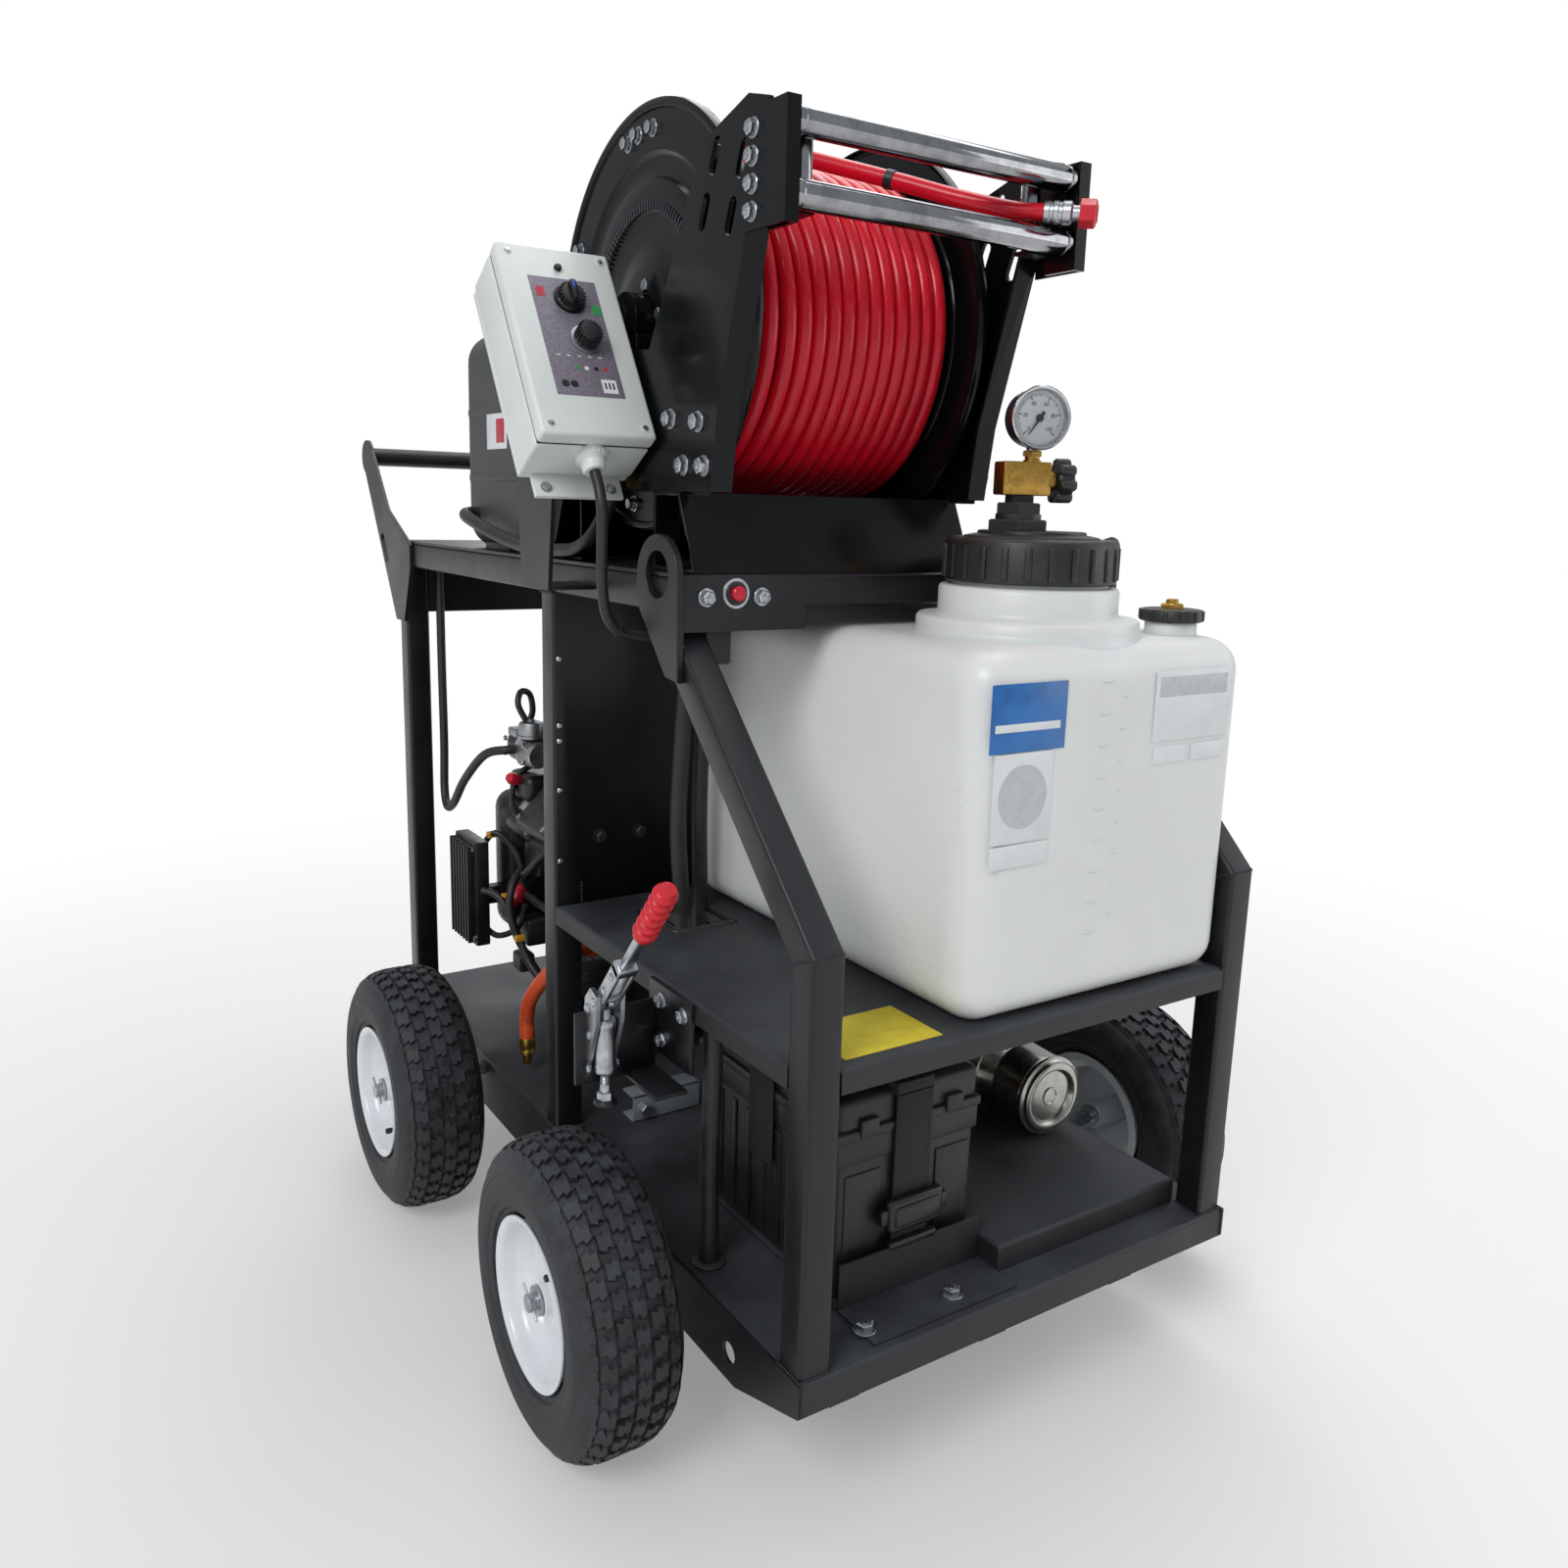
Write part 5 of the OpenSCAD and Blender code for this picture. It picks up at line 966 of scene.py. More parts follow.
# ---- Battery ----
# A vented black polypropylene battery box on a folded tray, held down by a woven strap with a
# moulded buckle. The lid overlaps the case and has a stepped rim.
web = finish("strap_web", "1d1e20", "2b2c2e", smooth=0.7, rough=0.85, size=0.004, amount=0.9, grain=0.0016,
    depth=0.0005)
body = bmesh.new()
blocks(body, 0, (-214, 92, 196, -24, 377, 374, 7, 3), (-217, 89, 352, -21, 380, 384, 4))
for x in (-205, -80):
    block(body, (x, 89.6, 212), (x + 48, 93, 340), 1.6, 0)
for y in range(104, 360, 32):
    blocks(body, 0, (-216.4, y, 206, -213, y + 12, 344, 1.4), (-25, y, 206, -21.6, y + 12, 344, 1.4))
blocks(body, 0, (-219, 87, 380, -19, 382, 392, 3), (-216, 90, 388, -22, 379, 428, 9, 3),
    (-196, 112, 424, -42, 200, 433.6, 4), (-196, 269, 424, -42, 357, 433.6, 4),
    (-190, 84, 384, -166, 92, 404, 2), (-72, 84, 384, -48, 92, 404, 2))
for x in range(-186, -50, 17):
    block(body, (x, 118, 431), (x + 8, 194, 434.6), 1.2, 0)
piece("battery_box", body, [black_plastic], stands_for=["battery"])
body = bmesh.new()
block(body, (-221, 209.5, 434), (-17, 259.5, 436.4), 0.8, 0)
for x in (-221.5, -18.9):
    block(body, (x, 209.5, 300), (x + 2.4, 259.5, 436), 0.8, 0)
blocks(body, 0, (-144, 83.4, 200, -94, 86.6, 424, 0.8), (-144, 83.4, 421, -94, 208, 436, 0.8))
for x in (-139, -99):
    for z in range(206, 420, 9):
        block(body, (x, 83.1, z), (x + 0.9, 83.7, z + 5), 0.2, 0)
blocks(body, 1, (-157, 71, 266, -81, 84, 306, 6, 4), (-150, 68.5, 274, -88, 74, 298, 3, 3),
    (-165, 75, 276, -153, 83, 296, 3), (-85, 75, 276, -73, 83, 296, 3), (-152, 75, 244, -86, 84, 254, 3))
piece("battery_strap", body, [web, knob_black])

# ---- Silencer ----
# Rolled stainless canister with pressed ends, a lock seam and a band clamp on a saddle; its pipe
# runs back along the right side to the engine.
stainless = finish("muffler_steel", "b9b8b2", "8d8a80", smooth=0.14, rough=0.34, size=0.07, amount=0.7,
    grain=0.003, depth=0.00004, metallic=1.0)
body = bmesh.new()
can = at(214, 198, 283)
turned(body, [(0, 5), (9, 5), (10, 4), (12, 4), (13, 6), (34, 6.5), (37, 1.5), (39, 0.4), (45, 0.2), (47, 1),
    (47.5, 5), (49, 6.5), (53, 7), (54, 8.5), (54, 12.5), (53, 14), (52, 14.5), (52, 60), (52.6, 61),
    (52.6, 64), (52, 65), (52, 231), (53, 232), (54, 233), (54, 239), (53, 240), (20, 240), (0, 240)], can, Y,
    0, 80)
block(body, (163.6, 212, 270), (165.4, 430, 296), 0.6, 0)
turned(body, [(52.2, 96), (53.6, 96), (53.6, 118), (52.2, 118)], can, Y, 0, 72)
block(body, (150, 296, 268), (164, 314, 298), 1.5, 0)
nut(body, 10, 7, at(157, 305, 298), Z, 0)
block(body, (188, 298, 226), (240, 320, 240), 2, 0)
pipe = steps([at(214, 436, 291), at(214, 600, 291), at(214, 800, 291), at(214, 912, 292), at(214, 936, 304),
    at(214, 940, 333)], 5)
rod(body, pipe, 0.017, 24)
turned(body, [(0, 0), (19, 0), (19, 14), (17, 15), (17, 0)], at(214, 448, 291), Y, 0, 32)
turned(body, cylinder(19, -1, 8), at(214, 940, 326), Z, 0, 32)
block(body, (108, 927, 303), (200, 953, 331), 5, 0, count=3)
piece("silencer", body, [stainless], stands_for=["muffler"], angle=40)

# ---- Engine and pump ----
# A black V-twin with cast finned cylinders, shrouds that lead the blower's air to them, a moulded top
# cover and alloy intake parts; the plunger pump bolts to its front with a forged brass head.
engine_black = finish("engine_black", "151618", "232427", smooth=0.26, rough=0.46, size=0.04, grain=0.0016,
    depth=0.0003, dust_and_sheen=0.15)
alloy = finish("alloy", "a9abad", "8b8d90", smooth=0.32, size=0.02, grain=0.0014, depth=0.0003, metallic=1.0)
orange_rubber = finish("orange_hose", "dd5428", "b8431f", smooth=0.4, size=0.02)
red_boot = finish("red_boot", "d01c3a", "a8142c", smooth=0.3, rough=0.42, size=0.01)
yellow_sleeve = finish("yellow_sleeve", "e0a52a", "c48d1e", smooth=0.4, size=0.01)
crank_x, crank_z = -10, 392
body = bmesh.new()
blocks(body, 0, (-115, 750, 193, 95, 1080, 196, 0.8), (-115, 750, 196, -111, 1080, 226, 0.8),
    (91, 750, 196, 95, 1080, 226, 0.8), (-115, 752, 222, 95, 1080, 226, 0.8),
    (-130, 790, 226, 110, 1040, 456, 22, 3))
for x in (-118, -70, -20, 30, 78):
    block(body, (x, 787, 250), (x + 8, 792, 430), 2, 0)
for z in range(256, 440, 26):
    blocks(body, 0, (-133, 812, z, -128, 1018, z + 7, 2), (108, 812, z, 113, 1018, z + 7, 2))
blower = at(crank_x, 1052, crank_z)
turned(body, [(0, -14), (150, -14), (150, -2), (158, 0), (163, 4), (165, 12), (165, 30), (162, 32), (162, 36),
    (165, 38), (165, 58), (160, 66), (150, 68), (122, 68), (120, 70), (120, 80), (116, 83), (104, 83),
    (103, 76), (30, 76), (28, 80), (0, 80)], blower, Y, 0, 80)
blocks(body, 0, (-212, 1040, 322, -140, 1116, 560, 30, 5), (-204, 1034, 344, -150, 1044, 540, 4))
for z in range(360, 530, 22):
    block(body, (-198, 1031, z), (-156, 1036, z + 8), 1.5, 0)
block(body, (-208, 962, 560), (-132, 1046, 606), 14, 0, count=3)
grille = bmesh.new()
block(grille, (34, -1.5, 76), (102, 1.5, 81), 1, 0, unmoved)
copies(body, grille, 24, engine_black,
    place=Matrix.Translation(blower) @ Matrix.Rotation(math.radians(-90), 4, "X"))
for r in (50, 68, 86):
    turned(body, [(r, 77), (r + 2.4, 77), (r + 2.4, 81.5), (r, 81.5), (r, 77)], blower, Y, 0, 56)
for i in range(10):
    angle = (i + 0.3) * math.tau / 10
    nut(body, 9, 4, blower + 0.157 * (math.cos(angle) * X + math.sin(angle) * Z) + 0.001 * Y, -Y, 1)
for way in (-1, 1):
    lean_over = Matrix.Rotation(math.radians(way * 45), 4, "Y")
    bank = Matrix.Translation(drawn(crank_x, 915 + way * 26, crank_z)) @ lean_over
    centre = bank @ Vector((0, 0, 118)) / 1000
    out = (bank.to_3x3() @ Z).normalized()
    turned(body, cylinder(46, -40, 112), centre, out, 0, 40)
    fin = bmesh.new()
    block(fin, (-62, -66, 122), (62, 66, 125.6), 1.2, 0, unmoved)
    copies(body, fin, 8, engine_black, step=(0, 0, 0.013),
        place=Matrix.Translation(bank.translation / 1000) @ lean_over)
    blocks(body, 0, (-56, -60, 228, 56, 60, 266, 10, 3), (-48, -52, 262, 48, 52, 269, 3), place=bank)
    for x in (-44, 44):
        for y in (-48, 48):
            nut(body, 10, 5, bank @ Vector((x, y, 266)) / 1000, out, 1)
    shroud = Matrix.Translation(drawn(crank_x, 950, crank_z)) @ lean_over
    blocks(body, 0, (-60, 0, 96, 60, 106, 234, 16, 4), (-44, 14, 230, 44, 92, 236.5, 5), place=shroud)
    for x in (-36, 0, 36):
        block(body, (x - 4, -2.5, 116), (x + 4, 2, 218), 1.6, 0, shroud)
    for x in (-52, 52):
        nut(body, 10, 4, shroud @ Vector((x, 12, 226)) / 1000, out, 1)
    block(body, (-26, 30, 236.2), (22, 78, 237.2), 0.3, 2, shroud)
blocks(body, 0, (-130, 830, 600, 110, 1020, 696, 24, 4), (-112, 848, 690, 92, 1002, 697.6, 6))
for x in range(-100, 84, 20):
    block(body, (x, 860, 696), (x + 8, 990, 699), 1.4, 0)
block(body, (-50, 850, 450), (30, 980, 604), 6, 0)
turned(body, [(0, 0), (34, 0), (37, 3), (38, 8), (38, 56), (36, 60), (0, 60)], at(-188, 850, 286), X, 0, 40)
for i in range(12):
    angle = i * math.tau / 12
    spot = at(-186, 850 + 37 * math.cos(angle), 286 + 37 * math.sin(angle))
    rod(body, [spot, spot + 0.026 * X], 0.0026, 8)
turned(body, cylinder(70, 0, 92), at(crank_x, 698, crank_z), Y, 0, 56)
turned(body, [(0, 0), (86, 0), (88, 1), (88, 4), (0, 4)], at(crank_x, 694, crank_z), Y, 0, 56)
for i in range(8):
    angle = (i + 0.5) * math.tau / 8
    nut(body, 11, 6, at(crank_x + 79 * math.cos(angle), 698, crank_z + 79 * math.sin(angle)), Y, 1)
piece("engine_block", body, [engine_black, zinc, sticker_grey], stands_for=["engine"],
    angle=38)

# The throttle body and its elbow are die-cast; the regulator is a black finned block on an arm.
body = bmesh.new()
block(body, (-225, 920, 630), (-131, 1010, 674), 14, 2, count=3)
turned(body, [(0, 0), (17, 0), (19, 3), (19, 6), (21, 7), (21, 18), (19, 19), (19, 70), (0, 70)],
    at(-206, 912, 648), Y, 0, 36)
turned(body, [(0, -2), (21, -2), (22, 0), (22, 60), (20, 63), (0, 63)], at(-224, 944, 652), X, 0, 36)
turned(body, [(0, 0), (22, 0), (22, 4), (20, 5), (20, 20), (18, 24), (12, 26), (0, 26)], at(-206, 944, 673),
    Z, 0, 32)
turned(body, [(0, 24), (6, 25), (6, 30), (0, 31)], at(-206, 944, 671), Z, 0, 20)
block(body, (-222, 970, 668), (-186, 1004, 682), 3, 0)
block(body, (-272, 1026, 314), (-248, 1122, 490), 3, 2)
for i in range(7):
    block(body, (-284, 1032 + i * 13, 320), (-270, 1037 + i * 13, 484), 1, 2)
block(body, (-248, 1060, 372), (-175, 1084, 402), 3, 2)
for y, z in ((1034, 326), (1034, 478), (1114, 326), (1114, 478)):
    nut(body, 10, 4, at(-272, y, z), -X, 1)
for y in (928, 1002):
    for z in (640, 664):
        nut(body, 8, 4, at(-225, y, z), -X, 1)
piece("intake_parts", body, [alloy, zinc, engine_black], stands_for=["engine_intake"], angle=38)

body = bmesh.new()
block(body, (-110, 470, 314), (90, 693.7, 464), 14, 0, count=3)
for x in range(-96, 80, 24):
    block(body, (x, 484, 462), (x + 7, 680, 467), 1.6, 0)
for z in (336, 360, 384, 408, 432):
    block(body, (-113, 486, z), (-108, 678, z + 7), 1.6, 0)
turned(body, [(0, 0), (17, 0), (18, 1), (18, 9), (0, 11)], at(-60, 560, 464), Z, 3, 28)
plungers = [crank_x + 52 * i for i in (-1, 0, 1)]
for x in plungers:
    turned(body, cylinder(20, 0, 26), at(x, 447, 382), Y, 0, 32)
blocks(body, 1, (-104, 398, 336, 84, 454, 440, 8, 3), (-98, 394.6, 346, 78, 400, 372, 3))
for x in plungers:
    nut(body, 32, 12, at(x, 426, 440), Z, 1, 2)
    nut(body, 32, 12, at(x, 398, 412), -Y, 1, 2)
    for y in (408, 446):
        nut(body, 12, 7, at(x + 26, y, 440), Z, 2)
for x in (-92, -36, 16, 68):
    nut(body, 12, 7, at(x, 398, 390), -Y, 2)
turned(body, cylinder(16, 0, 63), at(-166, 426, 362), X, 1, 28)
turned(body, cylinder(16, 0, 64), at(-166, 426, 344), Z, 1, 28)
block(body, (-203, 426, 382), (-160, 492, 416), 5, 1, count=3)
nut(body, 26, 8, at(-181, 426, 399), -Y, 1, 1.4)
for x, y in ((-188, 474), (-152, 504)):
    turned(body,
        [(0, 0), (14, 0), (14, 12), (12, 13)] + [(12.6 - (i % 2) * 1.2, 14 + i * 2) for i in range(10)]
        + [(11, 34), (0, 34)], at(x, y, 416), Z, 1, 28)
    nut(body, 26, 9, at(x, y, 417), Z, 1)
turned(body, cylinder(13, 0, 53), at(-162, 504, 404), X, 1, 28)
piece("pump_unit", body, [engine_black, brass, zinc, red_boot], stands_for=["pump"],
    angle=38)

# A zinc-plated channel on the deck below the pump, with a bolt in its front web
zinc_plate = finish("zinc_plate", "a3a9ae", "858b91", smooth=0.34, size=0.015, metallic=0.4)
body = bmesh.new()
blocks(body, 0, (-216, 566, 193, -112, 600, 196, 0.8), (-216, 566, 193, -112, 569, 231, 0.8),
    (-216, 566, 228, -112, 600, 231, 0.8))
turned(body, [(0, 0), (13, 0), (13, 1.6), (0, 2)], at(-198, 566.2, 210), -Y, 0, 24)
nut(body, 17, 8, at(-198, 565, 210), -Y, 1, 1.2)
piece("pump_foot", body, [zinc_plate, zinc], angle=35)

# Plug leads, the starter's red boot and the loom clipped along the block's left side
body = bmesh.new()
for route, radius in (
        (((-206, 952, 690), (-222, 956, 722), (-214, 966, 742), (-196, 974, 736), (-190, 978, 708),
         (-196, 986, 684)), 5),
        (((-176, 1000, 620), (-206, 1004, 600), (-214, 1010, 560), (-200, 1012, 530)), 5),
        (((-250, 1060, 470), (-232, 1040, 500), (-206, 1020, 470), (-196, 1010, 430)), 5),
        (((-250, 1056, 340), (-238, 1020, 330), (-214, 990, 350), (-206, 980, 390)), 5),
        (((-262, 1024, 410), (-240, 1000, 400), (-226, 970, 350), (-214, 940, 300), (-196, 900, 270),
         (-150, 880, 240)), 6.5),
        (((-200, 1010, 440), (-224, 990, 420), (-232, 980, 380), (-222, 960, 330), (-190, 930, 262)), 6.5),
        (((-196, 906, 500), (-210, 930, 470), (-206, 980, 440), (-190, 1030, 430)), 6.5),
        (((-190, 800, 470), (-206, 820, 440), (-200, 860, 400), (-188, 920, 392), (-196, 1000, 400)), 6.5)):
    rod(body, steps([at(*p) for p in route], 5), radius / 1000, 12, 0)
turned(body, [(0, 0), (11, 0), (12, 4), (12, 18), (14, 22), (14, 40), (12, 44), (9, 60), (7, 66), (0, 66)],
    at(-176, 1040, 412), (-0.66, -0.3, -0.62), 1, 24)
turned(body, [(0, 0), (15, 0), (16, 3), (16, 34), (0, 34)], at(-168, 1044, 420), (-0.75, -0.3, -0.35), 3, 24)
turned(body, [(0, 0), (9, 0), (10, 4), (8, 8), (8, 26), (10, 28), (10, 34), (7, 40), (0, 41)],
    at(-196, 1000, 590), (-0.75, -0.4, 0.3), 1, 20)
for x, y, z, size in ((-178, 900, 430, 26), (-180, 980, 470, 30), (-188, 1010, 340, 26),
        (-206, 1000, 290, 18)):
    block(body, (x - size / 2, y - size, z - size), (x + size, y + size, z + size * 0.7), 5, 0, count=3)
for x, y, z in ((-232, 1000, 402), (-224, 960, 342), (-236, 1046, 496)):
    block(body, (x - 8, y - 5, z - 5), (x + 8, y + 5, z + 5), 1.5, 2)
piece("engine_loom", body, [black_plastic, red_boot, yellow_sleeve, alloy], angle=40)

# ---- Fuel tank ----
# Rotation-moulded dark grey tank with big soft corners. It stands on two feet on the platform and
# has a ribbed screw cap and a plain sticker.
tank_grey = finish("tank_grey", "3d3e41", "4a4b4e", smooth=0.5, rough=0.68, size=0.14, grain=0.002,
    depth=0.0002, dust_and_sheen=0.3)
body = soft_box((-300, 696, 966.3), (30, 964, 1266), 40, (2, 2, 1.5))
for z in (1060, 1150):
    block(body, (-303, 730, z), (-296, 930, z + 12), 3, 0)
turned(body, [(0, -4), (50, -4), (49, 0), (44, 1), (44, 14), (42, 16), (20, 16.4), (0, 16.4)],
    at(-100, 830, 1266), Z, 1, 56)
rib = bmesh.new()
block(rib, (43, -2.4, 1), (45.6, 2.4, 14), 1, 0, unmoved)
copies(body, rib, 20, black_plastic, at(-100, 830, 1266), index=1)
for x in (-300, 10):
    block(body, (x, 786, 966), (x + 20, 876, 976), 2, 0)
piece("fuel_shell", body, [tank_grey, black_plastic], stands_for=["fuel_tank"], angle=50,
    face_out=False)
body = bmesh.new()
block(body, (-302.2, 782, 1104), (-301.4, 856, 1152), 0.2, 0)
block(body, (-302.4, 790, 1112), (-302.1, 820, 1144), 0.1, 1)
piece("fuel_sticker", body, [sticker_white, mark_red])

# ---- Parking brake ----
# A zinc-plated plunger toggle clamp bolted to a black bracket; its red grip swings the lever over
# centre and pushes the spindle's rubber foot onto the front left tyre.
spindle_x, spindle_y = -392, 285
grip_red = finish("grip_red", "d81e2c", "b81623", smooth=0.3, rough=0.44, size=0.012)
body = bmesh.new()
blocks(body, 1, (-322, 222, 430, -316, 318, 512, 1.4), (-420, 301, 408, -322, 307, 492, 1.4),
    (-362, 225, 408, -322, 301, 413, 1.4))
turned(body, [(6.1, 0), (11, 0), (12, 2), (12, 8), (11, 10), (11, 52), (12, 54), (12, 60), (11, 62),
    (6.1, 62), (6.1, 0)], at(spindle_x, spindle_y, 426), Z, 0, 36)
block(body, (-401, 291, 426), (-383, 301, 488), 2, 0)
for x in (-409, -380):
    outline = [(273, 488), (301, 414), (301, 510), (287, 526), (271, 520)]
    slab(body, *([at(x + thick, y, z) for y, z in outline] for thick in (0, 5)))
for y, z in ((279, 512), (294, 500), (293, 430), (290, 470)):
    for x, way in ((-409, -1), (-375, 1)):
        turned(body, [(0, -1), (5.4, -1), (5.4, 0.8), (4, 2.2), (0, 2.8)], at(x, y, z), way * X, 0, 24)
piece("clamp_base", body, [zinc, frame_coat], stands_for=["brake_base"], angle=35)

body = bmesh.new()
thread = [(6 - 0.5 * (i % 2), 8 + i * 0.9) for i in range(52)]
turned(body, [(0, 0), (6, 0)] + thread + [(6, 56), (6, 94), (5, 96), (0, 96)], at(spindle_x, spindle_y, 404),
    Z, 0, 24)
nut(body, 16, 10, at(spindle_x, spindle_y, 394), Z, 0, 1.2)
turned(body, [(0, 0), (9, 0), (13, 1.5), (13, 3), (11, 6), (0, 6)], at(spindle_x, spindle_y, 388), Z, 1, 32)
piece("clamp_spindle", body, [zinc, black_tie], "brake_plunger", ["brake_plunger"], 35)

lever = Matrix.Translation(drawn(spindle_x, 279, 512)) @ Matrix.Rotation(math.radians(40), 4, "X")
lever_way = (lever.to_3x3() @ Z).normalized()
body = bmesh.new()
turned(body, cylinder(4, -19, 19), lever.translation / 1000, X, 0, 20)
for x in (-11.5, 6.5):
    block(body, (x, -9, -6), (x + 5, 9, 68), 2, 0, lever)
blocks(body, 0, (-11.5, -9, 58, 11.5, 9, 72, 2), (-6, -5, 68, 6, 5, 130, 2), place=lever)
for y in (22, 50):
    for x, way in ((-11.5, -1), (11.5, 1)):
        turned(body, [(0, -1), (4.6, -1), (4.6, 0.8), (3, 2), (0, 2.4)], lever @ Vector((x, 0, y)) / 1000,
            way * X, 0, 20)
grip = [(0, 124), (9, 124), (10.4, 126)]
for i in range(6):
    z = 132 + i * 13
    grip += [(9.6, z - 1.5), (12.6, z + 0.6), (13.5, z + 3.5), (12.6, z + 6.4), (9.6, z + 8.5)]
grip += [(10.4, 207), (8.4, 210.5), (0, 211)]
turned(body, grip, lever.translation / 1000, lever_way, 1, 32)
piece("clamp_lever", body, [zinc, grip_red], "brake_lever", ["brake_lever"], 50)

# ---- Hoses and cable ----
# Black water hoses with worm-drive bands on brass tails, the throttle cable from the control box,
# an orange oil drain hose with a brass end, and the fuel line. They are held all the way.
hose_black = finish("hose_black", "141416", "242528", smooth=0.38, rough=0.55, size=0.03, amount=0.7,
    grain=0.002, depth=0.0002, dust_and_sheen=0.25)


def led(points):
    """A route that leaves and arrives straight."""
    return [points[0]] + steps(points[1:-1], 6) + [points[-1]]


cable_start = [on_box(66, 34, -22.3), on_box(66, 34, -40)]
# Points, radius, look: feed and return hose, drain, throttle cable, fuel line, oil drain, tank hose
routes = [(start + [at(*p) for p in points], radius, look) for start, points, radius, look in (
    ([], ((-188, 474, 450), (-188, 474, 466), (-192, 480, 540), (-196, 484, 640), (-190, 486, 750),
     (-184, 484, 860), (-184, 482, 950), (-184, 482, 961.7)), 11, 0),
    ([], ((-152, 504, 450), (-152, 504, 466), (-154, 500, 540), (-160, 494, 640), (-158, 494, 750),
     (-154, 492, 860), (-154, 490, 950), (-154, 490, 961.7)), 11, 0),
    ([], ((-290, 228, 160), (-290, 228, 220), (-291, 229, 300), (-290, 228, 380), (-288, 230, 440),
     (-288, 232, 500), (-288, 232, 509.7)), 11, 0),
    (cable_start, ((-364, 352, 1030), (-362, 356, 990), (-360, 360, 950), (-352, 364, 915), (-335, 366, 898),
     (-310, 366, 892), (-280, 364, 890), (-260, 356, 890), (-256, 348, 890), (-256, 340.3, 890)), 6, 0),
    ([], ((-225.3, 965, 652), (-240, 965, 652), (-262, 1000, 640), (-274, 1060, 590), (-276, 1112, 540),
     (-274, 1150, 526), (-270, 1176, 552), (-266, 1184, 630), (-266, 1186, 760), (-266, 1186, 880),
     (-266, 1186, 950), (-266, 1186, 961.7)), 7, 0),
    ([], ((-130.3, 812, 356), (-142, 812, 356), (-184, 800, 366), (-224, 756, 380), (-252, 728, 380),
     (-272, 740, 358), (-282, 772, 316), (-282, 788, 280), (-282, 788, 262), (-282, 788, 250)), 11, 1),
    ([], ((-300.3, 900, 1016), (-312, 900, 1016), (-326, 882, 1014), (-330, 850, 1008), (-326, 808, 998),
     (-318, 760, 986), (-311, 700, 977), (-309, 640, 976), (-309, 590, 976), (-308, 545, 980),
     (-307, 505, 994), (-306, 474, 1016), (-306, 459, 1034), (-306, 455, 1046), (-306, 455, 1051.7)), 9, 0))]
body = bmesh.new()
for route, radius, look in routes:
    rod(body, led(route), radius / 1000, 16, look)
for x, y, z in ((-188, 474, 458), (-152, 504, 458)):
    turned(body, [(11, 0), (12.4, 0.4), (12.4, 11.6), (11, 12)], at(x, y, z), Z, 2, 32)
    block(body, (x - 20, y - 5, z + 1), (x - 10, y + 5, z + 11), 1.6, 2)
turned(body, [(0, 0), (12, 0), (12, 5), (11, 6), (11, 10), (12, 11), (12, 22), (11, 24), (0, 24)],
    at(-282, 788, 226), Z, 3, 28)
nut(body, 21, 9, at(-282, 788, 232), Z, 3)
turned(body, [(0, 0), (5.5, 0), (7, 2), (7, 18), (0, 18)], at(-282, 788, 208), Z, 3, 24)
oil_way = led(routes[5][0])
turned(body, [(11, -16), (12.2, -15), (12.2, 15), (11, 16)], oil_way[20], (oil_way[21] - oil_way[19]), 4, 28)
block(body, (-317, 444, 1052), (-293.3, 466, 1080), 3, 3)
nut(body, 20, 8, at(-306, 455, 1044), Z, 2)
blocks(body, 5, (-276, 294, 866, -236, 340, 922, 3), (-270, 290.6, 872, -242, 296, 916, 2))
block(body, (-268, 294, 920), (-244, 298, 961.7), 0.6, 6)
turned(body, [(0, 0), (13, 0), (13, 4), (11, 5), (11, 9), (8, 11), (0, 11)], at(-256, 340, 890), Y, 5, 24)
cable_way = led(routes[3][0])
for n in (16, 30):
    middle = cable_way[n]
    turned(body, [(6.05, -1.6), (7.1, -1.4), (7.1, 1.4), (6.05, 1.6)], middle,
        cable_way[n + 1] - cable_way[n - 1], 5, 20)
turned(body, [(11.2, -5), (15, -4), (15, 0), (19, 0.4), (19, 2.4), (17, 4), (12, 5), (11.2, 5), (11.2, -5)],
    at(-290, 228, 193), Z, 5, 32)
piece("held_hoses", body, [hose_black, orange_rubber, zinc, brass, yellow_sleeve, black_plastic, frame_coat],
    stands_for=["hoses"], angle=45)

# ---- Bolts and welds ----
# Zinc-plated hexagon bolts on washers hold the bolted parts; every tube and plate of the frame is
# joined by a weld bead under the powder coat.
bolts = [((x, 36, 196), Z, 17) for x in (-213, -94)]
bolts += [((x, 262, 942), -Y, 14) for x in (-287, -219)]
for y, z in ((332, 1125), (273, 1120), (303, 1077), (260, 1076)):
    bolts += [((-293, y, z), -X, 15), ((78, y, z), X, 15)]
for z in (1304, 1328, 1352, 1376):
    bolts += [((-296, 172, z), -X, 13), ((81, 172, z), X, 13)]
bolts += [((-322, y, z), -X, 13) for y, z in ((236, 494), (286, 494), (286, 448))]
body = bmesh.new()
for spot, way, flats in bolts:
    middle = at(*spot)
    turned(body, [(0, 0), (flats * 0.72, 0), (flats * 0.72, 1.5), (flats * 0.68, 2), (0, 2)], middle, way, 0,
        32)
    nut(body, flats, flats * 0.5, middle + way * 0.002, way, 0, 1.4)
    turned(body, [(0, 2), (flats * 0.28, 2), (flats * 0.28, flats * 0.5 + 2.6),
        (flats * 0.2, flats * 0.5 + 3.2), (0, flats * 0.5 + 3.2)], middle, way, 0, 20)
for x in (-252, -194):
    turned(body, [(0, 0), (10, 0), (10, 1.6), (0, 2)], at(x, 598, 602), -Y, 1, 28)
    nut(body, 14, 7.7, at(x, 598, 602) - 0.002 * Y, -Y, 1, 1.2)
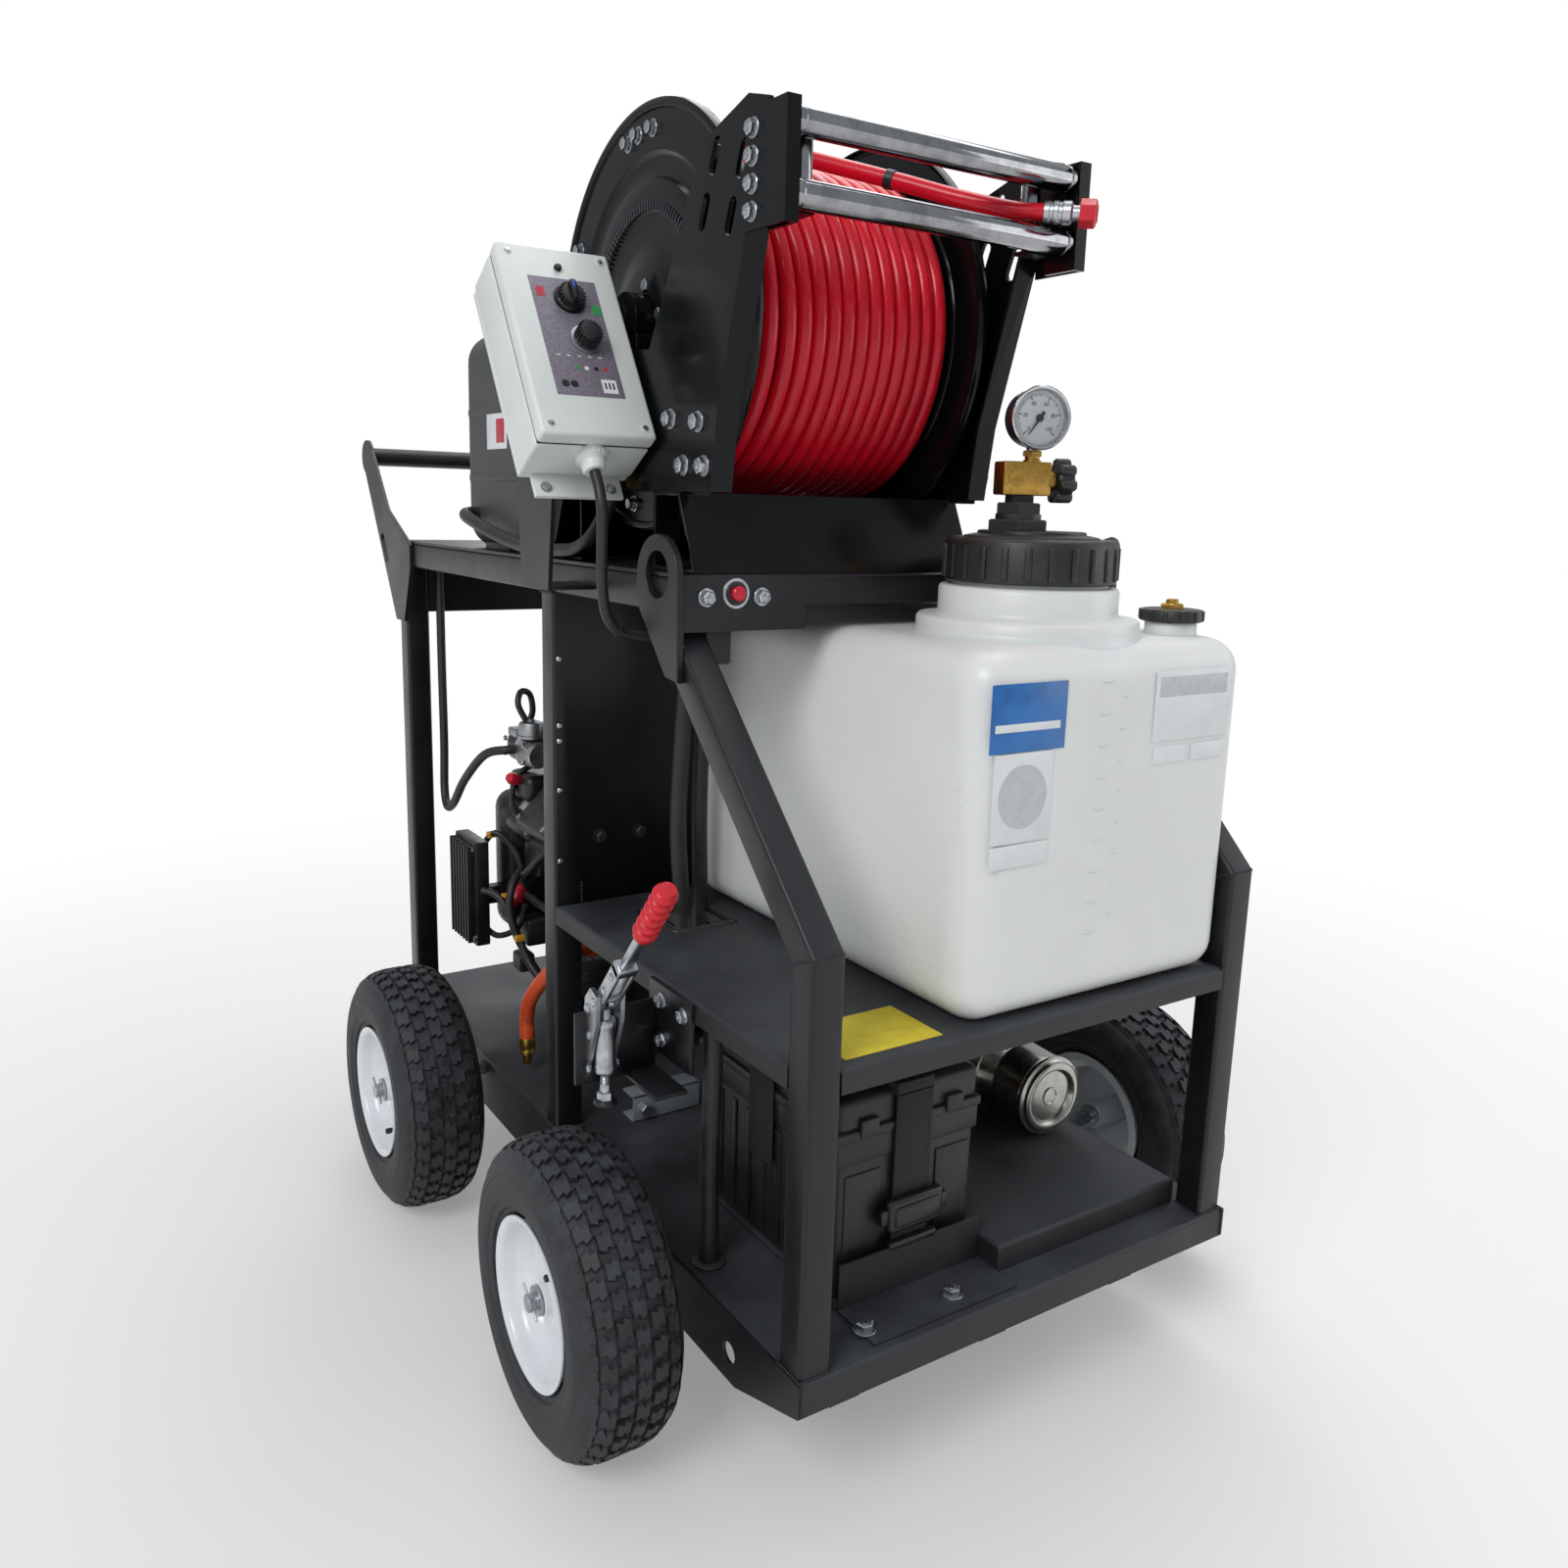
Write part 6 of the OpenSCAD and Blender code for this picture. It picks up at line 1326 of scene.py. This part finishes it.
piece("zinc_bolts", body, [zinc, frame_coat], stands_for=["fasteners"], angle=35)
body = bmesh.new()
for x in (-308, 308):
    for z in (574, 669, 734, 754, 840):
        turned(body, [(0, -0.5), (3.8, -0.5), (3.8, 0.5), (2.8, 1.6), (0, 2)], at(x, 598, z), -Y, 0, 20)
piece("panel_screws", body, [zinc], angle=35)

# Ends of each bead on the right side; the left side mirrors them
inner, outer, deck_top, ripple_gap = 278, 316, 193, 0.0032
beads = []
for y0, y1 in ((5, 43), (598, 636), (1206, 1244)):
    beads += [(inner, y0, deck_top, outer, y0, deck_top), (inner, y1, deck_top, outer, y1, deck_top),
        (inner, y0, deck_top, inner, y1, deck_top), (outer, y0, deck_top, outer, y1, deck_top)]
beads += [(283, 5.6, 632, 311, 5.6, 632), (315.4, 10, 630, 315.4, 38, 618), (278.6, 38, 618, 278.6, 10, 630),
    (outer, 0, 160, outer, 0, 192), (inner, 43, 490, inner, 43, 512), (inner, 43, 513.5, 314, 43, 513.5),
    (inner, 7, 513.5, inner, 42, 513.5), (outer, 598, 924, outer, 636, 924), (inner, 636, 924, 314, 636, 924),
    (inner, 1206, 924, 314, 1206, 924), (outer, 258, 892, outer, 282, 860),
    (outer, 352, 934, outer, 352, 960), (inner, 598, 516, inner, 598, 540)]
ends = [((way * bead[0], *bead[1:3]), (way * bead[3], *bead[4:])) for way in (-1, 1) for bead in beads]
ends += [((x, 1.5, 157), (x + 34, 1.5, 157)) for x in (-280, -80, 120)]
body = bmesh.new()
for a, b in ends:
    a, b = at(*a), at(*b)
    long = (b - a).length
    number = max(3, int(long / ripple_gap))
    ripple = bmesh.new()
    bmesh.ops.create_icosphere(ripple, subdivisions=1, radius=1)
    ripple.transform((b - a).to_track_quat("X", "Z").to_matrix().to_4x4()
        @ Matrix.Diagonal((0.0026, 0.0023, 0.0023, 1)))
    copies(body, ripple, number, frame_coat, a, (b - a) / (number - 1))
for face in body.faces:
    face.smooth = True
piece("weld_beads", body, [frame_coat], angle=70, face_out=False)
